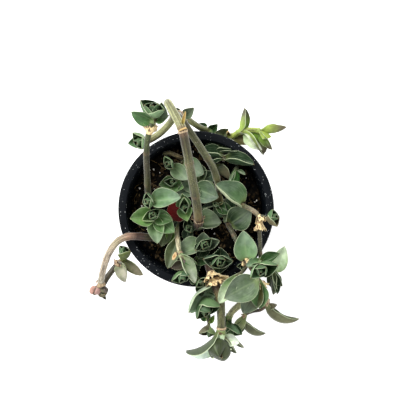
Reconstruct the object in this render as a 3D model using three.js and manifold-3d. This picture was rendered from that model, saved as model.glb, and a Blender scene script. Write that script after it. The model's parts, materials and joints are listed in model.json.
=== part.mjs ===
// A potted chain-plant tradescantia: a round black nursery pot filled with potting soil, and the
// leafy shoots that stand in it, arch over its rim and trail outside it.
// Millimetres, +Z up. The origin is the middle of the pot's underside.
import * as THREE from 'three';
import { mergeVertices } from 'three/addons/utils/BufferGeometryUtils.js';
import Module from 'manifold-3d';

const wasm = await Module();
wasm.setup();

// The pot and its soil

const POT_HEIGHT = 88;
const RIM_RADIUS = 51;
const FOOT_RADIUS = 36;
const WALL = 1.3;
const LIP_WIDTH = 4.2;
const LIP_DROP = 8;
const LIP_ROUND = 1.2;
const FLOOR_TOP = 3;
const FOOT_RISE = 1.4;
const FOOT_WIDTH = 3.4;
const BOSS_RADIUS = 9;
const DRAIN_COUNT = 6;
const DRAIN_RADIUS = 3.6;
const DRAIN_SIDES = 8;
const DRAIN_CIRCLE = 23;
const POT_SIDES = 40;
const SOIL_TOP = 75;
const SOIL_LUMP = 0.9;
const COARSE_LUMPS = { across: 0.31, back: 0.27, shift: 1.3, share: 0.6 };
const FINE_LUMPS = { across: 0.83, back: 0.71, shift: 0.5, share: 0.4 };
const SOIL_RINGS = 5;
const SOIL_SIDES = 24;

// The plant

const GAP = 0.3;
const ROOT_DEPTH = 11;
const STEM_SIDES = 6;
const STEM_STEP = 9;
const STEM_TAPER = 0.25;
const MEAN_RADIUS = 0.45;
const LEAF_THICK = 0.9;
const EDGE_THICK = 0.62;
const FOOT_OUT = 0.3;
const BROAD_LEAF = 17.5;
const LEAF_FULL = 1.03;
const LEAF_SKEW = 0.75;
const LEAF_BLUNT = 0.8;
const FOOT_FOLD = 50;
const TIP_FOLD = 38;
const SIDE_BOWL = 14;
const BUD_LENGTH = 0.62;
const BUD_TIP = 0.35;

// Rosettes: how a closed and an open one spread their leaves, and how their inner leaves differ

const CLOSED_SPREAD = 24;
const OPEN_SPREAD = 84;
const CLOSED_CURL = 50;
const OPEN_CURL = 20;
const OUTER_FOLD = 26;
const INNER_FOLD = 12;
const INNER_SPREAD = 0.38;
const INNER_LENGTH = 0.6;
const HEAD_RISE = 0.36;
const HEAD_WIDTH = 0.98;
const HEAD_TWIST = 0.2;

// Solids

const SAME_PLACE = 1e-4;
const SLIVER = 0.04;

// The plan places below are as they look from straight above, level with the rim. The eye is this
// high over the rim and stands over this point, so what rises above the rim is drawn in a little.
const EYE_HEIGHT = 600;
const EYE_OVER = new THREE.Vector2(7.8, 0.6);

// A shoot has a stem thickness and a route: places along its stem as across, back and height. Its
// branches start at a number in its route. A leaf is [number in the route, heading, rise, length,
// width, roll, curl, fold]: the heading is seen from above, the rise is above level, the roll turns
// the blade about its midrib, the curl bends it towards its upper face, and the fold is how far
// each side stands up from flat, all in degrees.
// A head is the close two-ranked rosette at a tip: [heading of its ranks, length of its largest
// leaf, number of leaves, openness from 0 to 1, heading of its axis, rise of its axis].
const SHOOTS = {
  arching_shoot: {
    thick: 5.2,
    route: [[1.5, -11, 78], [1.5, -6, 92], [0, 6, 109], [-3, 22, 125], [-6, 38, 135],
      [-9, 51.5, 138], [-13, 60, 136], [-17.5, 68, 129], [-18.5, 69.5, 120], [-17, 65, 105],
      [-17, 59, 94], [-20, 53, 85], [-26, 47.5, 80], [-33, 44, 78]],
    leaves: [[0.7, -40, 6, 15, 18, 0, 15, 28]],
    head: [150, 11, 4, 0.65, 180, 50],
  },
  trailing_shoot: {
    thick: 4.2,
    route: [[15, 12, 78], [14.5, 16, 90], [11, 27, 106], [5, 37, 117], [-3, 49, 124],
      [-9, 58, 122], [-11.5, 61, 113], [-9.5, 61, 103], [-6, 59, 95], [-1, 55.5, 87],
      [4, 52.5, 79], [10, 50.5, 74], [17, 48.5, 73], [23, 47.5, 76], [28, 50, 80],
      [34, 51.5, 83], [42, 50.5, 84]],
    leaves: [[7.2, 36, 25, 10, 9, 20, 20, 22], [10.6, 168, 30, 11, 8, 20, 20, 30],
      [11.2, 82, 40, 12, 7, 0, 30, 25], [12, 35, 45, 9, 8, 0, 25, 22],
      [12.7, 100, 45, 8, 6, 0, 20, 22], [14.2, 86, 8, 15, 10, 65, 15, 35],
      [13.6, -36, 5, 13, 8, -50, 15, 30], [15.9, -80, -5, 14, 11, 20, 25, 22],
      [16, -8, 0, 17, 9, -60, 30, 30]],
    head: [0, 8, 2, 0.4, -58, -10],
  },
  left_arching_shoot: {
    thick: 3.9,
    route: [[-31, 9, 78], [-31.5, 12, 87], [-32, 22, 99], [-32.5, 36, 109], [-31.5, 47, 113],
      [-29.5, 54, 114], [-27, 60, 114]],
    leaves: [[5.3, 158, 12, 12, 10, 0, 20, 22], [5.6, -8, 12, 11, 9, 0, 20, 22]],
    head: [150, 13, 5, 0.7, 100, 72],
  },
  left_trailing_shoot: {
    thick: 4.6,
    route: [[-26.5, -18, 78], [-30, -18.5, 87], [-37, -18, 93], [-44, -18, 95], [-51, -21, 94],
      [-57, -29, 90], [-60.5, -39, 82], [-62.5, -49, 72], [-62.5, -53, 66]],
    leaves: [[7.8, 205, 15, 8, 8, 0, 30, 30]],
    head: [10, 8, 2, 0.45, 290, -15],
    branches: [{
      from: 7.9,
      thick: 3.4,
      route: [[-59, -46, 62], [-55, -40.5, 60], [-51, -35, 60], [-49, -31, 61]],
      leaves: [[2.7, -64, -5, 17, 11, 0, 15, 22], [3.3, -42, 0, 19, 10, 0, 15, 22]],
      head: [-30, 10, 3, 0.5, 75, 50],
    }],
  },
  bottom_shoot: {
    thick: 5.2,
    route: [[8.5, -35, 79], [10, -41, 90.5], [13, -50, 93.5], [15.5, -58, 94], [16.3, -68, 93],
      [16.5, -79, 89], [16.5, -84, 85]],
    leaves: [[5.3, 202, 0, 27, 16, -40, -25, 40], [1.9, 195, 8, 26, 17, -50, 50, 35],
      [5.8, -25, -5, 9, 8, 0, 20, 22]],
    head: [60, 15, 3, 0.3, -86, 10],
  },
  bottom_left_shoot: {
    thick: 3,
    route: [[0, -40, 78], [1, -46, 90.5], [2.5, -53, 89.5], [4.5, -58, 85]],
    leaves: [[1.2, 150, 15, 8, 8, 0, 20, 22], [1.4, -76, 2, 9, 8, 0, 20, 22],
      [2.6, 240, 5, 14, 9, 0, 25, 22], [2.8, -30, 5, 12, 11, 0, 25, 22]],
    head: [30, 14, 3, 0.5, -68, 20],
    branches: [{
      from: 3,
      thick: 2.4,
      route: [[6, -64, 79], [7.5, -71, 74], [8.5, -76, 71.5]],
      leaves: [],
      head: [195, 8.5, 2, 0.7, -85, 5],
    }],
  },
  right_arching_shoot: {
    thick: 3.3,
    route: [[26, 5, 78], [28, 3.5, 86], [32, 1.5, 92], [37, -1, 95], [41, -5, 97], [41.5, -13, 98],
      [41.8, -22, 98], [42, -30, 100], [42.5, -37, 103]],
    leaves: [[1.8, 147, 12, 24, 22, 40, 15, 40]],
    head: [12, 12, 4, 0.8, 110, 78],
    branches: [{
      from: 4,
      thick: 2.6,
      route: [[44, -5, 98], [47, -6, 97.5]],
      leaves: [],
      head: [-75, 9, 3, 0.6, 20, 50],
    }, {
      from: 7.6,
      thick: 3,
      route: [[46, -39, 94], [50.5, -42, 88], [53, -43, 85]],
      leaves: [[1.6, 78, 8, 20, 12, 0, 12, 20]],
      head: [125, 13, 2, 0.35, -80, 5],
    }],
  },
  right_inner_shoot: {
    thick: 3.3,
    route: [[20, -8, 78], [20.5, -9.5, 83], [22, -12, 88], [25, -18, 92], [29, -27, 96],
      [34, -36, 100], [39, -43, 101.5], [42, -49, 97], [45, -56, 89], [46, -63, 82]],
    leaves: [[1.6, 28, 0, 16, 17, 0, 15, 22], [4.8, 97, 14, 21, 18, 0, 10, 20],
      [6.5, 208, 6, 25, 20, 0, 12, 18], [6.8, -96, -12, 16, 13, 0, 15, 22],
      [9, -80, -12, 27, 10, -80, 115, 35], [8.6, 75, 20, 6, 5, 0, 10, 22]],
    head: [0, 6, 2, 0.4, -30, -20],
    branches: [{
      from: 5,
      thick: 2.4,
      route: [[30.5, -41, 98], [26, -44, 98.8]],
      leaves: [[0.9, 236, 0, 21, 11, 30, 0, 30], [0.6, -84, -16, 21, 15, 0, 15, 22]],
    }, {
      from: 7.1,
      thick: 3.8,
      route: [[38, -55, 89], [30, -63, 81], [22.5, -69.5, 75], [21.5, -75, 73]],
      leaves: [[3.4, -30, 5, 10, 8, 0, 20, 22], [3.8, -58, -5, 16, 8, 60, -15, 30]],
      head: [-10, 11, 2, 0.5, -85, 25],
    }, {
      from: 9,
      thick: 2.6,
      route: [[42, -66, 79], [37, -67, 75], [32.5, -69, 73], [30.5, -73, 72]],
      leaves: [[3.3, -112, 0, 8, 7, 0, 10, 22], [3.8, -76, -5, 16, 9, -80, 95, 35]],
    }],
  },
  front_rosette: {
    thick: 3.4,
    route: [[16, -31, 78], [16, -32.5, 85], [15.5, -33.5, 90]],
    leaves: [[1.7, 88, 22, 10, 14, 0, 30, 10], [1.7, -94, 20, 11, 15, 0, 30, 10]],
    head: [170, 13, 5, 0.75, -90, 84],
  },
  middle_rosette: {
    thick: 3.2,
    route: [[4.5, -20, 78], [5, -22, 83], [5.5, -23.5, 86]],
    leaves: [[1.6, 205, 3, 20, 17, 30, 10, 30], [1.4, -110, 12, 11, 13, 0, 25, 15],
      [1.5, 92, 20, 9, 12, 0, 25, 12]],
    head: [15, 11, 4, 0.75, 40, 84],
  },
  front_left_shoot: {
    thick: 3.3,
    route: [[-12.5, -9, 78], [-12.5, -15, 84], [-12, -21, 89], [-11, -28, 93], [-8, -34, 93],
      [-8.5, -41, 92]],
    leaves: [[2.3, 238, 8, 16, 11, 0, 15, 22], [3.6, -68, 6, 19, 12, -20, 15, 22],
      [4.2, 200, 10, 9, 7, 0, 20, 22]],
    head: [200, 10, 3, 0.6, -90, 55],
  },
  left_rosette: {
    thick: 3.6,
    route: [[-24.5, -7, 78], [-26, -5.5, 85], [-27.5, -4.5, 90]],
    leaves: [[1.5, -88, 12, 17, 13, 0, 10, 22], [1.6, -38, 8, 17, 14, 0, 15, 22]],
    head: [183, 15.5, 4, 0.8, 180, 82],
  },
  upper_left_rosette: {
    thick: 3,
    route: [[-28, 3, 78], [-29, 4, 88], [-29.5, 5, 97]],
    leaves: [[1.9, 6, 15, 19, 15, 0, 10, 20]],
    head: [95, 9, 3, 0.5, 200, 75],
  },
  red_leaved_shoot: {
    thick: 2.8,
    route: [[-6.5, 0.5, 78], [-7.5, 1, 85], [-8, 1.5, 90]],
    leaves: [[1.1, 218, 4, 14, 16, 0, -25, -10]],
    head: [80, 11, 3, 0.6, 100, 82],
  },
  back_left_rosette: {
    thick: 2.8,
    route: [[-14, 15, 77.5], [-15, 16.5, 80]],
    leaves: [],
    head: [174, 10.5, 4, 0.78, 100, 80],
  },
  back_left_bud: {
    thick: 2.6,
    route: [[-15, 28, 78], [-16, 28.5, 87]],
    leaves: [[0.8, -42, 12, 14.5, 11, 0, 10, 20]],
    head: [120, 8, 3, 0.6, 170, 70],
  },
  back_rosette: {
    thick: 3,
    route: [[3, 17, 77.5], [3, 18, 80.5]],
    leaves: [[0.7, 190, 5, 15, 16, 0, 15, 20], [0.8, -62, 6, 14, 14, 0, 15, 20],
      [0.9, 98, 8, 14, 13, 0, 15, 20]],
    head: [20, 9, 3, 0.7, 60, 80],
  },
  back_right_rosette: {
    thick: 3.6,
    route: [[19, 31, 78], [19.5, 32.5, 86]],
    leaves: [[0.3, -82, 12, 13, 9, 0, 15, 22], [0.5, 176, 10, 16, 11, 0, 15, 22]],
    head: [-12, 17, 4, 0.85, 60, 78],
  },
  right_bud: {
    thick: 2.4,
    route: [[27, 27, 78], [27.5, 25, 80.5]],
    leaves: [[0.9, 225, 14, 9, 5, 0, 15, 22]],
    head: [-80, 10, 3, 0.7, -60, 60],
  },
  middle_bud: {
    thick: 2.4,
    route: [[-5, -13, 78], [-5, -13, 80]],
    leaves: [],
    head: [100, 9, 3, 0.7, 90, 80],
  },
  middle_right_bud: {
    thick: 2.4,
    route: [[13, 3, 78], [13.5, 2, 80]],
    leaves: [[0.4, -32, 12, 11.5, 10, 0, 12, 20]],
    head: [-10, 10.5, 3, 0.75, 90, 80],
  },
  old_stem: {
    thick: 3.4,
    route: [[-9, 33, 77], [-12, 34.5, 79.5], [-17, 36.5, 79.5], [-22, 36, 78.5]],
    leaves: [],
  },
};

const rad = THREE.MathUtils.degToRad;
const mix = THREE.MathUtils.lerp;

// Solids from meshes

function solidFrom(geometry) {
  const bare = geometry.index ? geometry.toNonIndexed() : geometry.clone();
  bare.deleteAttribute('normal');
  bare.deleteAttribute('uv');
  const merged = mergeVertices(bare, SAME_PLACE);
  return new wasm.Manifold(new wasm.Mesh({
    numProp: 3,
    vertProperties: merged.attributes.position.array,
    triVerts: new Uint32Array(merged.index.array),
  }));
}

function geometryFrom(solid) {
  const mesh = solid.getMesh();
  const geometry = new THREE.BufferGeometry();
  geometry.setAttribute('position', new THREE.BufferAttribute(mesh.vertProperties, 3));
  geometry.setIndex(new THREE.BufferAttribute(mesh.triVerts, 1));
  geometry.computeVertexNormals();
  return geometry;
}

// Joins solids and keeps the one body that holds together, with no sealed hollow in it.
function fused(solids) {
  const joined = wasm.Manifold.union(solids).simplify(SLIVER);
  return joined.decompose().reduce((a, b) => (a.volume() > b.volume() ? a : b));
}

function meshOf(points, triangles) {
  const geometry = new THREE.BufferGeometry();
  geometry.setAttribute('position', new THREE.Float32BufferAttribute(points.flatMap((p) => p.toArray()), 3));
  geometry.setIndex(triangles.flat());
  return geometry;
}

// Pot

function wallRadius(z) {
  return mix(FOOT_RADIUS, RIM_RADIUS - LIP_WIDTH, z / POT_HEIGHT);
}

function potSolid() {
  const inside = RIM_RADIUS - LIP_WIDTH - WALL;
  const lipUnder = POT_HEIGHT - LIP_DROP;
  const profile = [
    [0, 0], [BOSS_RADIUS, 0], [BOSS_RADIUS + 1, FOOT_RISE],
    [FOOT_RADIUS - FOOT_WIDTH - 1, FOOT_RISE], [FOOT_RADIUS - FOOT_WIDTH, 0], [FOOT_RADIUS, 0],
    [wallRadius(POT_HEIGHT - WALL), POT_HEIGHT - 2 * WALL], [RIM_RADIUS - WALL, POT_HEIGHT - 2 * WALL],
    [RIM_RADIUS - WALL, lipUnder], [RIM_RADIUS, lipUnder],
    [RIM_RADIUS, POT_HEIGHT - LIP_ROUND], [RIM_RADIUS - LIP_ROUND, POT_HEIGHT],
    [inside + LIP_ROUND, POT_HEIGHT], [inside, POT_HEIGHT - LIP_ROUND],
    [wallRadius(FLOOR_TOP) - WALL, FLOOR_TOP], [0, FLOOR_TOP],
  ].map(([r, z]) => new THREE.Vector2(r, z));
  const shell = solidFrom(new THREE.LatheGeometry(profile, POT_SIDES).rotateX(Math.PI / 2));
  const drains = [];
  for (let i = 0; i < DRAIN_COUNT; i += 1) {
    const turn = (2 * Math.PI * i) / DRAIN_COUNT;
    const drain = new THREE.CylinderGeometry(DRAIN_RADIUS, DRAIN_RADIUS, 4 * FLOOR_TOP, DRAIN_SIDES);
    drain.rotateX(Math.PI / 2).translate(DRAIN_CIRCLE * Math.cos(turn), DRAIN_CIRCLE * Math.sin(turn), 0);
    drains.push(solidFrom(drain));
  }
  return shell.subtract(wasm.Manifold.union(drains));
}

// Soil: its surface is raised in small lumps by a formula

function soilHeight(x, y) {
  const lumps = ({ across, back, shift, share }) => (
    share * Math.sin(across * x + shift) * Math.cos(back * y - shift * across * x));
  return SOIL_TOP + SOIL_LUMP * (lumps(COARSE_LUMPS) + lumps(FINE_LUMPS));
}

function soilSolid() {
  const bottom = FLOOR_TOP + GAP;
  const points = [new THREE.Vector3(0, 0, soilHeight(0, 0))];
  const ring = (radius, height) => {
    for (let i = 0; i < SOIL_SIDES; i += 1) {
      const turn = (2 * Math.PI * i) / SOIL_SIDES;
      const x = radius * Math.cos(turn);
      const y = radius * Math.sin(turn);
      points.push(new THREE.Vector3(x, y, height ?? soilHeight(x, y)));
    }
  };
  const edge = wallRadius(SOIL_TOP - SOIL_LUMP) - WALL - 2 * GAP;
  for (let k = 1; k <= SOIL_RINGS; k += 1) ring((edge * k) / SOIL_RINGS);
  ring(wallRadius(bottom) - WALL - 2 * GAP, bottom);
  const triangles = [];
  const at = (k, i) => 1 + k * SOIL_SIDES + (i % SOIL_SIDES);
  for (let i = 0; i < SOIL_SIDES; i += 1) {
    triangles.push([0, at(0, i), at(0, i + 1)]);
    for (let k = 0; k < SOIL_RINGS; k += 1) {
      triangles.push([at(k, i), at(k + 1, i), at(k + 1, i + 1)], [at(k, i), at(k + 1, i + 1), at(k, i + 1)]);
    }
    if (i > 0 && i < SOIL_SIDES - 1) {
      triangles.push([at(SOIL_RINGS, 0), at(SOIL_RINGS, i + 1), at(SOIL_RINGS, i)]);
    }
  }
  return solidFrom(meshOf(points, triangles));
}

// Stems

// The true place of a point that is given as it looks from above.
function placed([across, back, height]) {
  const drawnIn = (EYE_HEIGHT + POT_HEIGHT - height) / EYE_HEIGHT;
  return new THREE.Vector3(
    EYE_OVER.x + (across - EYE_OVER.x) * drawnIn,
    EYE_OVER.y + (back - EYE_OVER.y) * drawnIn,
    height,
  );
}

function direction(heading, rise) {
  const level = Math.cos(rad(rise));
  const turn = rad(heading);
  return new THREE.Vector3(level * Math.cos(turn), level * Math.sin(turn), Math.sin(rad(rise)));
}

// The smooth line of a stem or branch, from its start through its route to the tip of its bud.
function stemCurve(limb, start) {
  const points = limb.route.map(placed);
  points.unshift(start ?? new THREE.Vector3(points[0].x, points[0].y, SOIL_TOP - ROOT_DEPTH));
  if (limb.head) {
    const [, largest, , , heading, rise] = limb.head;
    points.push(points.at(-1).clone().addScaledVector(direction(heading, rise), BUD_LENGTH * largest));
  }
  return new THREE.CatmullRomCurve3(points, false, 'centripetal');
}

// The share of the whole line at which a place of the route lies.
function along(curve, place) {
  return Math.min(1, (place + 1) / (curve.points.length - 1));
}

// Shares of the line at which a stem is drawn: each place of its route, and between far ones.
function stemShares(curve, spans) {
  const shares = [0];
  for (let k = 0; k < spans; k += 1) {
    const steps = Math.max(1, Math.round(curve.points[k].distanceTo(curve.points[k + 1]) / STEM_STEP));
    for (let i = 1; i <= steps; i += 1) shares.push((k + i / steps) / (curve.points.length - 1));
  }
  return shares;
}

// A round closed tube along the first spans of a curve, with a radius for each share of it.
function tubeSolid(curve, spans, radiusAt, sides) {
  const shares = stemShares(curve, spans);
  const points = [];
  const normal = new THREE.Vector3(1, 0.2, 0.1);
  shares.forEach((share) => {
    const line = curve.getTangent(share);
    normal.addScaledVector(line, -normal.dot(line)).normalize();
    const binormal = new THREE.Vector3().crossVectors(line, normal);
    for (let i = 0; i < sides; i += 1) {
      const turn = (2 * Math.PI * i) / sides;
      points.push(curve.getPoint(share)
        .addScaledVector(normal, radiusAt(share) * Math.cos(turn))
        .addScaledVector(binormal, radiusAt(share) * Math.sin(turn)));
    }
  });
  const at = (k, i) => k * sides + (i % sides);
  const end = shares.length - 1;
  const triangles = [];
  for (let i = 0; i < sides; i += 1) {
    for (let k = 0; k < end; k += 1) {
      triangles.push([at(k, i), at(k, i + 1), at(k + 1, i + 1)], [at(k, i), at(k + 1, i + 1), at(k + 1, i)]);
    }
    if (i > 0 && i < sides - 1) {
      triangles.push([at(0, 0), at(0, i + 1), at(0, i)], [at(end, 0), at(end, i), at(end, i + 1)]);
    }
  }
  return solidFrom(meshOf(points, triangles));
}

// Leaves

// How wide a leaf is at a share of its length, from its clasping foot to its pointed tip.
function leafWidth(share, width) {
  return LEAF_FULL * width * Math.sin(Math.PI * share ** LEAF_SKEW) ** LEAF_BLUNT;
}

// A leaf is a keeled boat: its two sides rise from the midrib, most of all near its foot and tip.
// Its upper and lower faces have the same places across and along, and each end is a short edge.
function leafSolid({ base, aim, face, length, width, curl, fold }) {
  const broad = length > BROAD_LEAF;
  const rows = broad ? [0.14, 0.42, 0.74] : [0.22, 0.62];
  const columns = broad ? 4 : 2;
  const bend = rad(Math.abs(curl) < 0.5 ? 0.5 : curl);
  const across = new THREE.Vector3().crossVectors(aim, face).normalize();
  const middleAt = (share) => base.clone()
    .addScaledVector(aim, (length * Math.sin(bend * share)) / bend)
    .addScaledVector(face, (length * (1 - Math.cos(bend * share))) / bend);
  const upAt = (share) => face.clone().multiplyScalar(Math.cos(bend * share))
    .addScaledVector(aim, -Math.sin(bend * share));
  const upper = [base.clone()];
  const lower = [base.clone().addScaledVector(face, -EDGE_THICK)];
  rows.forEach((share) => {
    const half = 0.5 * leafWidth(share, width);
    const slope = rad(fold + (FOOT_FOLD - fold) * (1 - share) ** 3 + (TIP_FOLD - fold) * share ** 4);
    for (let i = 0; i <= columns; i += 1) {
      const side = (2 * i) / columns - 1;
      const lean = slope + rad(SIDE_BOWL) * (Math.abs(side) - 0.5);
      const thick = mix(LEAF_THICK, EDGE_THICK, Math.abs(side));
      const top = middleAt(share)
        .addScaledVector(across, side * half * Math.cos(lean))
        .addScaledVector(upAt(share), Math.abs(side) * half * Math.sin(lean));
      upper.push(top);
      lower.push(top.clone()
        .addScaledVector(across, Math.sign(side) * thick * Math.sin(lean))
        .addScaledVector(upAt(share), -thick * Math.cos(lean)));
    }
  });
  upper.push(middleAt(1));
  lower.push(middleAt(1).addScaledVector(upAt(1), -EDGE_THICK));
  return solidFrom(meshOf([...upper, ...lower], leafTriangles(rows.length, columns)));
}

// The faces of a leaf: its foot, then its rows across, then its tip, on both faces and both sides.
function leafTriangles(rows, columns) {
  const rings = [[0]];
  for (let k = 0; k < rows; k += 1) {
    rings.push(Array.from({ length: columns + 1 }, (_, i) => 1 + k * (columns + 1) + i));
  }
  rings.push([1 + rows * (columns + 1)]);
  const under = rings.at(-1)[0] + 1;
  const triangles = [];
  const quad = (a, b, c, d) => triangles.push([a, b, c], [a, c, d]);
  const bothFaces = (a, b, c) => triangles.push([a, b, c], [under + a, under + c, under + b]);
  for (let k = 0; k <= rows; k += 1) {
    const near = rings[k];
    const far = rings[k + 1];
    for (let i = 0; i < columns; i += 1) {
      const outward = i < columns / 2 ? 1 : 0;
      if (near.length === 1) bothFaces(near[0], far[i + 1], far[i]);
      else if (far.length === 1) bothFaces(near[i], near[i + 1], far[0]);
      else {
        bothFaces(near[i], near[i + 1], far[i + outward]);
        bothFaces(near[i + 1 - outward], far[i + 1], far[i]);
      }
    }
    quad(near[0], far[0], under + far[0], under + near[0]);
    quad(near.at(-1), under + near.at(-1), under + far.at(-1), far.at(-1));
  }
  return triangles;
}

// The upper face of a blade that is rolled about its aim. At no roll it faces as far up as it can.
function facing(aim, roll) {
  const face = new THREE.Vector3(0, 0, 1).addScaledVector(aim, -aim.z).normalize();
  return face.applyAxisAngle(aim, rad(roll));
}

// A leaf's foot is sunk in its stem, a little out from the middle on the side it leaves by.
function leafFoot(centre, line, aim, radius) {
  const out = aim.clone().addScaledVector(line, -aim.dot(line));
  return centre.clone().addScaledVector(out.normalize(), FOOT_OUT * radius);
}

function sideLeaf(curve, [place, heading, rise, length, width, roll, curl, fold], radius) {
  const aim = direction(heading, rise);
  const share = along(curve, place);
  const base = leafFoot(curve.getPoint(share), curve.getTangent(share), aim, radius);
  return leafSolid({ base, aim, face: facing(aim, roll), length, width, curl, fold });
}

// The two-ranked rosette at a tip, from its open outer leaves to the ones that hold the bud.
function headLeaves(foot, [ranks, largest, count, openness, heading, rise], radius) {
  const axis = direction(heading, rise);
  const rankOut = direction(ranks, 0);
  rankOut.addScaledVector(axis, -rankOut.dot(axis)).normalize();
  const solids = [];
  const widest = mix(CLOSED_SPREAD, OPEN_SPREAD, openness);
  const curl = mix(CLOSED_CURL, OPEN_CURL, openness);
  for (let i = 0; i < count; i += 1) {
    const inner = i / (count - 1);
    const out = rankOut.clone().applyAxisAngle(axis, Math.PI * i + HEAD_TWIST * i);
    const spread = rad(mix(widest, INNER_SPREAD * widest, inner));
    const aim = axis.clone().multiplyScalar(Math.cos(spread)).addScaledVector(out, Math.sin(spread));
    const face = axis.clone().addScaledVector(aim, -axis.dot(aim)).normalize();
    const centre = foot.clone().addScaledVector(axis, HEAD_RISE * largest * inner);
    const base = leafFoot(centre, axis, aim, radius);
    const length = largest * mix(1, INNER_LENGTH, inner);
    const width = HEAD_WIDTH * length;
    const fold = mix(OUTER_FOLD, INNER_FOLD, inner);
    solids.push(leafSolid({ base, aim, face, length, width, curl, fold }));
  }
  return solids;
}

// A stem or branch with all that it bears. Its last span is the closed bud of its head.
function limbSolids(limb, start) {
  const curve = stemCurve(limb, start);
  const spans = curve.points.length - 1;
  const budFrom = limb.head ? (spans - 1) / spans : 1;
  const thinned = 0.5 * limb.thick * (1 - STEM_TAPER);
  const radiusAt = (share) => (share > budFrom
    ? mix(thinned, BUD_TIP, (share - budFrom) * spans)
    : mix(0.5 * limb.thick, thinned, share / budFrom));
  const solids = [tubeSolid(curve, spans, radiusAt, STEM_SIDES)];
  limb.leaves.forEach((leaf) => solids.push(sideLeaf(curve, leaf, MEAN_RADIUS * limb.thick)));
  if (limb.head) solids.push(...headLeaves(placed(limb.route.at(-1)), limb.head, thinned));
  (limb.branches ?? []).forEach((branch) => {
    solids.push(...limbSolids(branch, curve.getPoint(along(curve, branch.from))));
  });
  return solids;
}

// The plain hole that a stem stands in: the stem's own foot, wider and deeper by the gap.
function holeSolid(shoot) {
  const curve = stemCurve(shoot, undefined);
  curve.points[0].z -= GAP;
  return tubeSolid(curve, 1, () => 0.5 * shoot.thick + GAP, STEM_SIDES);
}

// Finishes and assembly

const FINISHES = {
  plastic: new THREE.MeshStandardMaterial({ color: 0x1d2022, roughness: 0.5, metalness: 0 }),
  soil: new THREE.MeshStandardMaterial({ color: 0x2a211a, roughness: 1, metalness: 0 }),
  leaf: new THREE.MeshStandardMaterial({ color: 0x6d8468, roughness: 0.55, metalness: 0 }),
  dry: new THREE.MeshStandardMaterial({ color: 0x8f8460, roughness: 0.8, metalness: 0 }),
};

const plant = new THREE.Group();

function addPiece(name, solid, finish) {
  const piece = new THREE.Mesh(geometryFrom(solid), finish);
  piece.name = name;
  plant.add(piece);
}

addPiece('pot', potSolid(), FINISHES.plastic);
const holes = Object.values(SHOOTS).map(holeSolid);
addPiece('soil', soilSolid().subtract(wasm.Manifold.union(holes)).simplify(SLIVER), FINISHES.soil);
for (const [name, shoot] of Object.entries(SHOOTS)) {
  addPiece(name, fused(limbSolids(shoot)), name === 'old_stem' ? FINISHES.dry : FINISHES.leaf);
}

export default plant;
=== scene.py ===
# %% [markdown]
# This is a chain-plant tradescantia in the black plastic pot that it was sold in, seen from
# straight above. Its fleshy leaves are small boats with a pale rim. They sit in two ranks, close
# together at the tips of the stems, and the old bare stems arch over the pot's rim.
#
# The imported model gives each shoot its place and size. Its solids are coarse, so each one is
# replaced here by a finer piece that starts from the same numbers: the same stem lines and the
# same leaves. Here a few stems are thicker, and some shoots have more leaves or turned ones.
# Round stems, thin rims, papery sheaths and real soil are added.

# %% The frame and its box
import json
import math
import random

import bpy
import numpy as np
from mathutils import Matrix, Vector, noise

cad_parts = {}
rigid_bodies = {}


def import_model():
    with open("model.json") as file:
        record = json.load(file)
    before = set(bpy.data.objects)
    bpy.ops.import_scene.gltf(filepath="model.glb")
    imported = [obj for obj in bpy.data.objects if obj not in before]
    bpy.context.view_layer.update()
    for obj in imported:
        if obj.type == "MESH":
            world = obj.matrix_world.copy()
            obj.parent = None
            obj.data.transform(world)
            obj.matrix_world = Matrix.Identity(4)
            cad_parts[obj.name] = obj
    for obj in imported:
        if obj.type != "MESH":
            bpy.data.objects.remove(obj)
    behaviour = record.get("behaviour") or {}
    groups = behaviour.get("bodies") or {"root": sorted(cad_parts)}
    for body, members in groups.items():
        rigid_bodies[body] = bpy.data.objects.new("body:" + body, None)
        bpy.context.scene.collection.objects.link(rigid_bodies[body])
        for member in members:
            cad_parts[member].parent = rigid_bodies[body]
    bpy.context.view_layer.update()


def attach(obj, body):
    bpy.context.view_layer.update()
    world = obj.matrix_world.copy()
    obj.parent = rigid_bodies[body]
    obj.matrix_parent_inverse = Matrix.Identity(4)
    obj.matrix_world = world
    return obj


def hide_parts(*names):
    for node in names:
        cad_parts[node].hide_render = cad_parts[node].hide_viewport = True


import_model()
MM = 0.001
FULL_TURN = 6.28


# %% [markdown]
# Operators act on all that is selected, and the load leaves the solids selected. So every step
# starts from a clean selection, and every finished piece goes through one function: it lays the
# piece's place into its mesh, gives it a name, and ties it to the plant's one body.

# %% Small helpers
def deselect():
    if bpy.context.mode != "OBJECT":
        bpy.ops.object.mode_set(mode="OBJECT")
    bpy.ops.object.select_all(action="DESELECT")


def select_only(piece):
    deselect()
    piece.select_set(True)
    bpy.context.view_layer.objects.active = piece


def edit_all(piece):
    select_only(piece)
    bpy.ops.object.mode_set(mode="EDIT")
    bpy.ops.mesh.select_all(action="SELECT")


def weld(piece, threshold):
    edit_all(piece)
    bpy.ops.mesh.remove_doubles(threshold=threshold)
    bpy.ops.mesh.normals_make_consistent(inside=False)
    bpy.ops.object.mode_set(mode="OBJECT")


def apply_all_modifiers(piece):
    select_only(piece)
    for modifier in list(piece.modifiers):
        bpy.ops.object.modifier_apply(modifier=modifier.name)


def new_grid(across, along, size=1.0):
    deselect()
    bpy.ops.mesh.primitive_grid_add(x_subdivisions=across, y_subdivisions=along, size=size)
    return bpy.context.object


def places_of(piece):
    flat = np.empty(len(piece.data.vertices) * 3)
    piece.data.vertices.foreach_get("co", flat)
    return flat.reshape(-1, 3)


def set_places(piece, places):
    """Moves every vertex to its place, given in millimetres."""
    piece.data.vertices.foreach_set("co", (places * MM).ravel())


def copy_of(piece):
    twin = piece.copy()
    twin.data = piece.data.copy()
    bpy.context.collection.objects.link(twin)
    return twin


def join(pieces):
    deselect()
    for piece in pieces:
        piece.select_set(True)
    bpy.context.view_layer.objects.active = pieces[0]
    if len(pieces) > 1:
        bpy.ops.object.join()
    return bpy.context.object


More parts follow.
